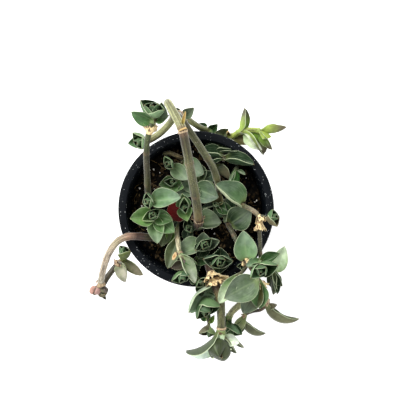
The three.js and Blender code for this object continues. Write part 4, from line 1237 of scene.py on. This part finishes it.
# %% [markdown]
# A leaf of this plant is a small boat: keeled below, clasping the stem with its foot, with a thin
# pale rim. All leaves are the same thing at different sizes and turns, so one blank is modelled:
# a grid given two faces by a solidify modifier. The under face gets a material of its own, since
# it has a grey bloom that the upper face lacks. The stripes and the pale foot are left off where
# a tone has no green, as on pink or ashen leaves.
#
# Each leaf is a copy of the blank. Every vertex knows how far across, along and deep it is, and
# those three numbers are bent to the leaf's own width, fold and curl. A sine makes the columns
# crowd towards the rim.

# %% The blank of a leaf
LEAF_COLUMNS = 12
LEAF_ROWS = 14


def leaf_finish(name, tint_name, rim_from, stripe_density, stripe_strength, stripe_tone, mottled):
    material, tree, shader = start_material(name)
    place = object_place(tree)
    blade = place_group(tree, BLADE, UV=uv_place(tree), Rim_From=rim_from)
    along = blade["Along"]
    clouds = cloudy(tree, place, scale=210.0, detail=3.0, rough=0.55)
    stripes = place_group(tree, STREAKS, Across=blade["Across"], Along=along,
                          Density=stripe_density, Length=1.6)["Value"]
    tint = stored(tree, tint_name, "Color")
    shade = blend(tree, spread(tree, clouds, 0.3, 0.7), (0.84, 0.84, 0.84, 1), (1.38, 1.34, 1.34, 1))
    base = blend(tree, 1.0, tint, shade, "MULTIPLY")
    if mottled:
        deeper = blend(tree, 1.0, base, (0.7, 0.84, 0.58, 1), "MULTIPLY")
        patches = cloudy(tree, place, scale=130.0, detail=4.0, rough=0.6)
        bloom = maths(tree, "ADD", patches, maths(tree, "MULTIPLY", along, 0.42))
        base = blend(tree, spread(tree, bloom, 0.5, 0.92), deeper, base)
    red, green, _ = feed(tree, add_node(tree, "ShaderNodeSeparateColor"), Color=tint).outputs
    fresh = spread(tree, maths(tree, "SUBTRACT", green, red), -0.01, 0.01)
    lines = maths(tree, "MULTIPLY", spread(tree, stripes, 0.46, 0.66), fresh)
    foot = maths(tree, "MULTIPLY", blade["Foot"], fresh)
    rib = maths(tree, "MULTIPLY", blade["Rib"], fresh)
    pale_rim = maths(tree, "MULTIPLY", blade["Rim"], stored(tree, "margin"))
    base = stain(tree, base, lines, stripe_strength, stripe_tone)
    base = stain(tree, base, foot, 0.55, colour(136, 150, 88))
    base = stain(tree, base, rib, 0.22, colour(138, 156, 112))
    base = stain(tree, base, pale_rim, 0.85, colour(186, 198, 160))
    base = stain(tree, base, spread(tree, along, 0.965, 1.0), 0.45, colour(150, 112, 76))
    spot = stored(tree, "dry_spot")
    base = blend(tree, spread(tree, spot, 0.25, 0.5), base, colour(196, 168, 122))
    base = blend(tree, spread(tree, spot, 0.62, 0.9), base, colour(150, 98, 44))
    feed(tree, shader, Base_Color=base, Roughness=spread(tree, clouds, 0.25, 0.75, 0.4, 0.54),
         Sheen_Weight=0.05, Sheen_Roughness=0.4, Specular_IOR_Level=0.2)
    skin = maths(tree, "MULTIPLY", cells(tree, place, scale=2600.0)["Distance"], 0.4)
    add_bump(tree, shader, maths(tree, "ADD", stripes, skin), depth=0.12 * MM, strength=0.55)
    return material


def make_blank():
    blank = new_grid(LEAF_COLUMNS, LEAF_ROWS)
    blank.name = "leaf_blank"
    blank.data.materials.append(leaf_finish(
        "leaf_upper", "leaf_tint", rim_from=0.91, stripe_density=24.0, stripe_strength=0.22,
        stripe_tone=colour(138, 156, 124), mottled=True))
    blank.data.materials.append(leaf_finish(
        "leaf_under", "back_tint", rim_from=0.81, stripe_density=34.0, stripe_strength=0.42,
        stripe_tone=colour(70, 74, 60), mottled=False))
    faces = blank.modifiers.new("two_faces", "SOLIDIFY")
    faces.thickness = 1
    faces.offset = -1
    faces.material_offset = 1
    apply_all_modifiers(blank)
    return blank


BLANK = make_blank()
BLANK_PLACES = places_of(BLANK)
SIDE = np.sin(BLANK_PLACES[:, 0] * math.pi)
SHARE = BLANK_PLACES[:, 1] + 0.5
DEPTH = -BLANK_PLACES[:, 2]
print("leaf blank:", len(SHARE), "vertices,", triangles(BLANK), "triangles")


# %% [markdown]
# The bending repeats the rules of the solids and softens them. The keel gets a small radius, the
# blade is thickest at its midrib and thin at its rim, the rim waves a little, and the lowest part
# wraps round the stem as a short sheath. In a rosette the leaves are painted dark towards the
# foot, and the inner ones get a weaker pale rim and a darker under face. That is painted shade,
# for the shade deep in a rosette, where hardly any light gets in.

# %% One leaf from the blank
LEAF_FULL, LEAF_SKEW = 1.03, 0.75
FOOT_FOLD, TIP_FOLD = 50, 38
LEAST_CURL = 0.5
TIP_HALF = 0.1
MID_THICK, RIM_THICK, END_THICK = 1.15, 0.24, 0.3
THICK_AT, THICK_RANGE = 17, (0.6, 1.1)
RIM_FALL, END_SKEW, END_FALL = 1.6, 0.7, 0.6
WAVE, WAVE_COUNT, WAVE_SHIFT = 0.02, (1.2, 2.2), 1.6
LEAF_TWIST = 9
CLASP, CLASP_TURN = 0.17, math.radians(115)
CLASP_GAP, CLASP_THICK, CLASP_FLARE, CLASP_EASE = 0.08, 0.35, 0.25, 0.8
TIP_TONE_FROM, TIP_TONE_OVER = 0.2, 0.6
BRIGHTNESS, WARMTH = (0.88, 1.12), (0.94, 1.06)
SPOT_FULL, SPOT_FADE = 1.2, 0.9


def blade_thickness(length):
    size = min(THICK_RANGE[1], max(THICK_RANGE[0], length / THICK_AT))
    across = mix(MID_THICK, RIM_THICK, np.abs(SIDE) ** RIM_FALL)
    along = np.sin(math.pi * SHARE ** END_SKEW).clip(0) ** END_FALL
    return size * across * mix(END_THICK, 1.0, along)


def blade_places(leaf, draw):
    aim, face, width, keel = leaf["aim"], leaf["face"], leaf["width"], leaf["keel"]
    length, fold = leaf["length"], leaf["fold"]
    whole = math.radians(leaf["curl"] if abs(leaf["curl"]) > LEAST_CURL else LEAST_CURL)
    bend = whole * SHARE
    across = unit(np.cross(aim, face))
    middle = (leaf["base"] + aim * column(length * np.sin(bend) / whole)
              + face * column(length * (1 - np.cos(bend)) / whole))
    up = face * column(np.cos(bend)) - aim * column(np.sin(bend))
    swell = np.sin(math.pi * np.clip(SHARE, 0, 1) ** LEAF_SKEW).clip(0) ** leaf["blunt"]
    half = np.maximum(0.5 * LEAF_FULL * width * swell, TIP_HALF)
    slope = fold + (FOOT_FOLD - fold) * (1 - SHARE) ** 3 + (TIP_FOLD - fold) * SHARE ** 4
    lean = np.radians(slope) + math.radians(leaf["bowl"]) * (np.abs(SIDE) - 0.5)
    rounded = np.sqrt(SIDE ** 2 + keel ** 2)
    soft = (rounded - keel) / (math.sqrt(1 + keel ** 2) - keel)
    sign = SIDE / rounded
    phase, waves = draw.uniform(0, FULL_TURN), draw.uniform(*WAVE_COUNT)
    swing = np.sin(2 * math.pi * waves * SHARE + phase + WAVE_SHIFT * np.sign(SIDE))
    ripple = WAVE * width * swing * SIDE ** 2
    twist = math.radians(draw.uniform(-LEAF_TWIST, LEAF_TWIST)) * SHARE
    rise = soft * half * np.sin(lean) + ripple * np.sin(math.pi * SHARE)
    reach = SIDE * half * np.cos(lean)
    top = (middle + across * column(reach * np.cos(twist) - rise * np.sin(twist))
           + up * column(reach * np.sin(twist) + rise * np.cos(twist)))
    down = across * column(sign * np.sin(lean)) - up * column(np.cos(lean * np.abs(sign)))
    return top + down * column(DEPTH * blade_thickness(length)), across


def clasp_places(leaf, across):
    """Where the foot of the leaf lies, wrapped round its stem."""
    line, radius = leaf["line"], leaf["radius"]
    out = square_to(line, leaf["aim"])
    around = np.cross(line, out)
    if np.dot(around, across) < 0:
        around = -around
    turn = SIDE * CLASP_TURN
    shell = radius + CLASP_GAP + DEPTH * CLASP_THICK + CLASP_FLARE * radius * SHARE / CLASP
    return (leaf["centre"] + out * column(shell * np.cos(turn)) + around * column(shell * np.sin(turn))
            - line * column(leaf["sheath"] * (1 - SHARE / CLASP)))


def leaf_places(leaf, draw):
    blade, across = blade_places(leaf, draw)
    share = column(np.clip(1 - SHARE / CLASP, 0, 1) ** CLASP_EASE)
    return blade * (1 - share) + clasp_places(leaf, across) * share


def spot_values(leaf):
    """How deep each vertex lies in the leaf's dry spot, which has a place and a size on it."""
    if "spot" not in leaf:
        return np.zeros(len(SHARE))
    side, share, wide, long = leaf["spot"]
    reach = np.sqrt(((SIDE - side) / wide) ** 2 + ((SHARE - share) / long) ** 2)
    return np.clip(SPOT_FULL - SPOT_FADE * reach, 0, 1)


def make_leaf(name, leaf, draw):
    piece = copy_of(BLANK)
    piece.name = name
    set_places(piece, leaf_places(leaf, draw))
    upper, under = (linear(tone) for tone in LEAF_TONES[leaf["tone"]])
    upper_tip, under_tip = (linear(tone) for tone in LEAF_TONES[leaf.get("tip", leaf["tone"])])
    margin = leaf.get("margin", 1.0)
    # A rosette leaf is painted dark at its foot, and an inner one gets a darker under face: painted
    # shade.
    if leaf.get("in_rosette"):
        upper, rosette_shade_back = (linear(tone) for tone in LEAF_TONES["painted_rosette_shade"])
        under, under_tip = mix(under, rosette_shade_back, 1 - margin), mix(under_tip, rosette_shade_back, 1 - margin)
    to_tip = column(np.clip((SHARE - TIP_TONE_FROM) / TIP_TONE_OVER, 0, 1))
    brightness, warmth = draw.uniform(*BRIGHTNESS), draw.uniform(*WARMTH)
    vary = np.array((brightness * warmth, brightness, brightness / warmth, 1.0))
    set_values(piece, "leaf_tint", mix(upper, upper_tip, to_tip) * vary)
    set_values(piece, "back_tint", mix(under, under_tip, to_tip) * vary)
    set_values(piece, "dry_spot", spot_values(leaf))
    set_values(piece, "margin", np.full(len(SHARE), margin))
    piece.data.update()
    return piece


# %% [markdown]
# Where a leaf goes follows from the table. A side leaf leaves its stem at a place of the route. A
# head is a close rosette in two ranks, each leaf turned half round from the last, shorter and
# more upright. One more, smaller leaf is added inside each rosette, because the real bud is
# closed by ever smaller leaves. In a closed head every leaf curls over the top instead, so that
# together they make a ball.

# %% Leaves of a stem and of a head
FOOT_OUT = 0.3
SIDE_FOOT = 0.45
SIDE_LEAF = {"bowl": 14, "keel": 0.16, "blunt": 0.6, "sheath": 2.4}

HEAD_LEAF = {"bowl": 42, "keel": 0.34, "blunt": 0.5, "in_rosette": True}
HEAD_SHEATH = 0.8
HEAD_RISE, HEAD_WIDTH, HEAD_TWIST = 0.36, 1.22, 0.26
CLOSED_SPREAD, OPEN_SPREAD = 24, 84
CLOSED_CURL, OPEN_CURL = 50, 20
CURL_PER_SPREAD, CURL_OVER = 1.5, 10
OUTER_FOLD, INNER_FOLD = 33, 24
INNER_SPREAD, INNER_LENGTH, INNER_NECK = 0.38, 0.6, 0.45
# The inner leaves of a rosette get a weaker pale rim: painted shade.
OUTER_MARGIN, INNER_MARGIN, MARGIN_OVER = 0.9, 0.4, 3

EXTRA_LEAVES = 1
EXTRA_SHRINK, EXTRA_CLOSE, EXTRA_THIN, EXTRA_NARROW = 0.78, 0.62, 0.7, 0.9
EXTRA_RISE, EXTRA_FOLD, EXTRA_CURL, EXTRA_NECK = 0.05, 10, 6, 0.3
UPRIGHT = 0.05

BALL_LEAF = {"bowl": 45, "keel": 0.6, "blunt": 0.6, "sheath": 0.8, "curl": 150, "fold": 26,
             "margin": 1.15}
BALL_SPREAD, BALL_TWIST = math.radians(76), 0.4
BALL_REACH, BALL_SHRINK, BALL_WIDTH = 1.45, 0.94, 1.12


def facing(aim, roll):
    level = unit(np.array((0, 0, 1.0)) - aim * aim[2])
    return turned(level, aim, math.radians(roll))


def leaf_foot(centre, line, aim, radius):
    return centre + square_to(line, aim) * FOOT_OUT * radius


def side_leaf(limb, points, leaf):
    place, heading, rise, length, width, roll, curl, fold, tone, *tip = leaf
    centre, line, radius = line_on(limb, points, place)
    aim = direction(heading, rise)
    return {**SIDE_LEAF, "base": leaf_foot(centre, line, aim, SIDE_FOOT * limb["thick"]),
            "aim": aim, "face": facing(aim, roll), "length": length, "width": width, "curl": curl,
            "fold": fold, "line": line, "centre": centre, "radius": radius, "tone": tone,
            "tip": tip[0] if tip else tone}


def head_frame(limb):
    """A head's foot, its axis, the way out of its first leaf, and the stem's radius there."""
    ranks, _, _, _, heading, rise = limb["head"]
    axis = direction(heading, rise)
    thinned = 0.5 * limb["thick"] * (1 - STEM_TAPER)
    return placed(limb["route"][-1]), axis, square_to(axis, direction(ranks, 0)), thinned


def head_aim(axis, rank_out, number, twist, spread):
    out = turned(rank_out, axis, math.pi * number + twist * number)
    return axis * math.cos(spread) + out * math.sin(spread), out


def tone_in_head(limb, number):
    return limb["tones"][min(number, len(limb["tones"]) - 1)]


def head_leaves(limb):
    _, largest, count, openness, _, _ = limb["head"]
    foot, axis, rank_out, thinned = head_frame(limb)
    widest = mix(CLOSED_SPREAD, OPEN_SPREAD, openness)
    curl = mix(CLOSED_CURL, OPEN_CURL, openness)
    leaves = []
    for i in range(count + EXTRA_LEAVES):
        extra = max(0, i - count + 1)
        inner = min(1.0, i / (count - 1))
        spread = math.radians(mix(widest, INNER_SPREAD * widest, inner)) * EXTRA_CLOSE ** extra
        aim, out = head_aim(axis, rank_out, i, HEAD_TWIST, spread)
        centre = foot + axis * (HEAD_RISE * inner + EXTRA_RISE * extra) * largest
        length = largest * mix(1, INNER_LENGTH, inner) * EXTRA_SHRINK ** extra
        leaves.append({
            **HEAD_LEAF, "base": leaf_foot(centre, axis, aim, thinned * EXTRA_THIN ** extra),
            "aim": aim, "face": square_to(aim, axis) if extra == 0 or spread > UPRIGHT else -out,
            "length": length, "width": HEAD_WIDTH * length * EXTRA_NARROW ** extra,
            "curl": min(curl + EXTRA_CURL * extra, CURL_PER_SPREAD * math.degrees(spread) + CURL_OVER),
            "fold": mix(OUTER_FOLD, INNER_FOLD, inner) + EXTRA_FOLD * extra,
            "line": axis, "centre": centre, "sheath": HEAD_SHEATH * length / 10,
            "radius": thinned * mix(1, INNER_NECK, min(1, inner + EXTRA_NECK * extra)),
            "tone": tone_in_head(limb, i),
            "margin": mix(OUTER_MARGIN, INNER_MARGIN, min(1.0, i / MARGIN_OVER))})
    return leaves


def ball_leaves(limb):
    """A closed head. Each leaf curls over its top, half round from the last and a bit smaller."""
    _, size, count, _, _, _ = limb["head"]
    foot, axis, rank_out, thinned = head_frame(limb)
    leaves = []
    for i in range(count):
        aim, _ = head_aim(axis, rank_out, i, BALL_TWIST, BALL_SPREAD)
        length = BALL_REACH * size * BALL_SHRINK ** i
        leaves.append({
            **BALL_LEAF, "base": leaf_foot(foot, axis, aim, thinned * BALL_SHRINK ** i),
            "aim": aim, "face": square_to(aim, axis), "length": length,
            "width": BALL_WIDTH * length, "line": axis, "centre": foot, "radius": thinned,
            "tone": tone_in_head(limb, i)})
    return leaves


# %% [markdown]
# Now everything grows. Each limb gives its stem and its leaves, then those of its branches. All
# stems of a shoot are joined to one piece and all its leaves to another, and both stand in for
# the shoot's one solid.

# %% Growing every limb
SHOOT_SEED, LOW_SEED = 100, 200
# A dry spot, by shoot and number of its leaf: its place across and along, its width and length.
SPOTS = {"front_left_shoot": {0: (-0.35, 0.55, 0.3, 0.16)}}
LIMB_LINES = {}


def grow(key, limb, start, draw):
    """The stem and leaves of a limb and of its branches, as loose pieces."""
    points = line_points(limb, start)
    LIMB_LINES[key] = (limb, points)
    stems = [make_stem(key, limb, points, STEM_TONES.get(key, USUAL_STEM), draw)]
    plan = [side_leaf(limb, points, leaf) for leaf in limb.get("leaves", [])]
    for i, spot in SPOTS.get(key, {}).items():
        plan[i]["spot"] = spot
    if "head" in limb:
        plan += ball_leaves(limb) if limb.get("closed") else head_leaves(limb)
    leaves = [make_leaf(key, leaf, draw) for leaf in plan]
    for number, branch in enumerate(limb.get("branches", [])):
        fork = line_at(points, share_of(points, branch["from"]))
        more_stems, more_leaves = grow(f"{key} {number}", branch, fork, draw)
        stems += more_stems
        leaves += more_leaves
    return stems, leaves


def finish_limbs(stems, leaves, name, nodes=()):
    stem = join(stems)
    stem.data.materials.append(STEM)
    finished(stem, f"{name}_stem", nodes)
    if leaves:
        finished(join(leaves), f"{name}_leaves", nodes)


for number, (name, shoot) in enumerate(SHOOTS.items()):
    stems, leaves = grow(name, shoot, None, random.Random(SHOOT_SEED + number))
    finish_limbs(stems, leaves, name, [name])

low_stems, low_leaves = [], []
for number, (name, shoot) in enumerate(LOW_SHOOTS.items()):
    stems, leaves = grow(f"low {name}", shoot, None, random.Random(LOW_SEED + number))
    low_stems += stems
    low_leaves += leaves
finish_limbs(low_stems, low_leaves, "low_shoots")
bpy.data.objects.remove(BLANK)
print("limbs grown:", len(LIMB_LINES))


# %% [markdown]
# Where an old leaf has died, its base stays on the stem as a dry, torn collar. Each collar is a
# grid that is wrapped part of the way round the stem, flared towards its ragged upper edge and
# crumpled with noise. A solidify modifier then gives the sheet its paper thickness. The raised
# rings at the joints are made in the same way, shorter and closer to the stem.

# %% Papery sheaths
COLLAR_AROUND, COLLAR_UP = 40, 10
PAPER = 0.16
COLLAR_LOOSE, COLLAR_GAP, FLARE_POWER = 1.03, 0.15, 1.6
RING_SIZE = 1.4
OFF_LINE = (0.3, 0.2, 1.0)
RAGGED, RAGGED_SCALE = 0.5, 3.1
NOTCHED, NOTCHED_SCALE = 0.12, 9
# Folds are noise of a scale and a strength that drifts in a direction up the sheet.
FOLDS = ((1.9, 1, (0, 0, 1)), (5.3, 0.5, (0, 0, 0)), (11, 0.3, (3, 0, 0)))

# A collar is [limb, number in its route, length, flare, crumple, turn round the stem, its start].
COLLARS = [
    ["left_arching_shoot", 4.25, 7.5, 3.4, 2.4, 350, 0],
    ["right_arching_shoot", 3.9, 6, 1.8, 1.8, 320, 0],
    ["right_arching_shoot", 4.35, 7, 1.8, 2.4, 260, 90],
    ["right_arching_shoot", 4.6, 5, 1.8, 2.2, 240, 200],
    ["bottom_shoot", 1.1, 9, 5, 3.6, 330, 30], ["bottom_shoot", 1.5, 6, 4, 2.6, 300, 200],
    ["right_inner_shoot", 4.5, 6, 1.8, 1.4, 300, 0], ["right_inner_shoot", 6.7, 7, 2.6, 2.2, 240, 180],
]
NODE_RINGS = [
    ["arching_shoot", 4.85, 1.4, 0.2, 0.3, 340, 40], ["arching_shoot", 0.85, 4.5, 1.3, 1.5, 280, 60],
    ["bottom_shoot", 4.8, 1.6, 0.25, 0.3, 340, 100], ["right_inner_shoot", 8.3, 6, 1.6, 1.2, 320, 0],
    ["left_trailing_shoot 1", 1.7, 3.6, 1.2, 1, 320, 0],
    ["left_trailing_shoot", 6.8, 3.4, 0.8, 0.7, 330, 0], ["front_left_shoot", 2.9, 3, 0.5, 0.6, 300, 0],
    ["right_inner_shoot 2", 2, 3, 0.8, 0.6, 320, 0], ["trailing_shoot", 6.2, 3.5, 0.8, 0.8, 320, 0],
]


def make_collar(row):
    key, place, length, flare, crumple, sweep, start = row
    centre, line, radius = line_on(*LIMB_LINES[key], place)
    normal = unit(np.cross(line, OFF_LINE))
    sideways = np.cross(line, normal)
    collar = new_grid(COLLAR_AROUND, COLLAR_UP)
    for vertex in collar.data.vertices:
        up = vertex.co.y + 0.5
        turn = math.radians(start + sweep * (vertex.co.x + 0.5))
        ring = Vector((math.cos(turn), math.sin(turn), place)) * RING_SIZE
        ragged = RAGGED * (0.5 + noise.noise(ring * RAGGED_SCALE))
        torn = 1 - ragged - NOTCHED * noise.noise(ring * NOTCHED_SCALE)
        folds = sum(share * noise.noise(ring * scale + Vector(drift) * up)
                    for scale, share, drift in FOLDS)
        out = radius * COLLAR_LOOSE + COLLAR_GAP + flare * up ** FLARE_POWER + crumple * up * folds
        vertex.co = MM * (centre + line * length * up * torn
                          + (normal * math.cos(turn) + sideways * math.sin(turn)) * out)
    sheet = collar.modifiers.new("paper", "SOLIDIFY")
    sheet.thickness = PAPER * MM
    sheet.offset = 0
    apply_all_modifiers(collar)
    return collar


def paper_finish(name, light, dark, deep):
    material, tree, shader = start_material(name)
    around, along, _ = split(tree, uv_place(tree))
    fibres = place_group(tree, STREAKS, Across=around, Along=along, Density=60.0, Length=2.5)["Value"]
    patches = cloudy(tree, object_place(tree), scale=420.0, detail=4.0, rough=0.65)
    base = blend(tree, spread(tree, patches, 0.38, 0.64), light, dark)
    base = blend(tree, spread(tree, fibres, 0.4, 0.7, 0.0, 0.7), base, colour(232, 216, 170))
    base = blend(tree, spread(tree, patches, 0.55, 0.62, 0.0, 0.9), base, deep)
    feed(tree, shader, Base_Color=base, Roughness=0.75, Sheen_Weight=0.2)
    add_bump(tree, shader, fibres, depth=0.2 * MM, strength=0.8)
    return material


def make_sheaths(name, rows, finish):
    sheaths = join([make_collar(row) for row in rows])
    sheaths.data.materials.append(finish)
    finished(sheaths, name)
    print(name, len(rows), "with", triangles(sheaths), "triangles")


make_sheaths("papery_sheaths", COLLARS, paper_finish(
    "dry_sheath", colour(242, 218, 162), colour(142, 106, 64), colour(74, 42, 30)))
make_sheaths("node_rings", NODE_RINGS, paper_finish(
    "node_ring", colour(150, 126, 96), colour(122, 84, 66), colour(84, 48, 40)))

# %% The size of the finished part
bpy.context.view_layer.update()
total = sum(triangles(piece) for piece in bpy.data.objects if piece.type == "MESH")
print("triangles in all:", total)
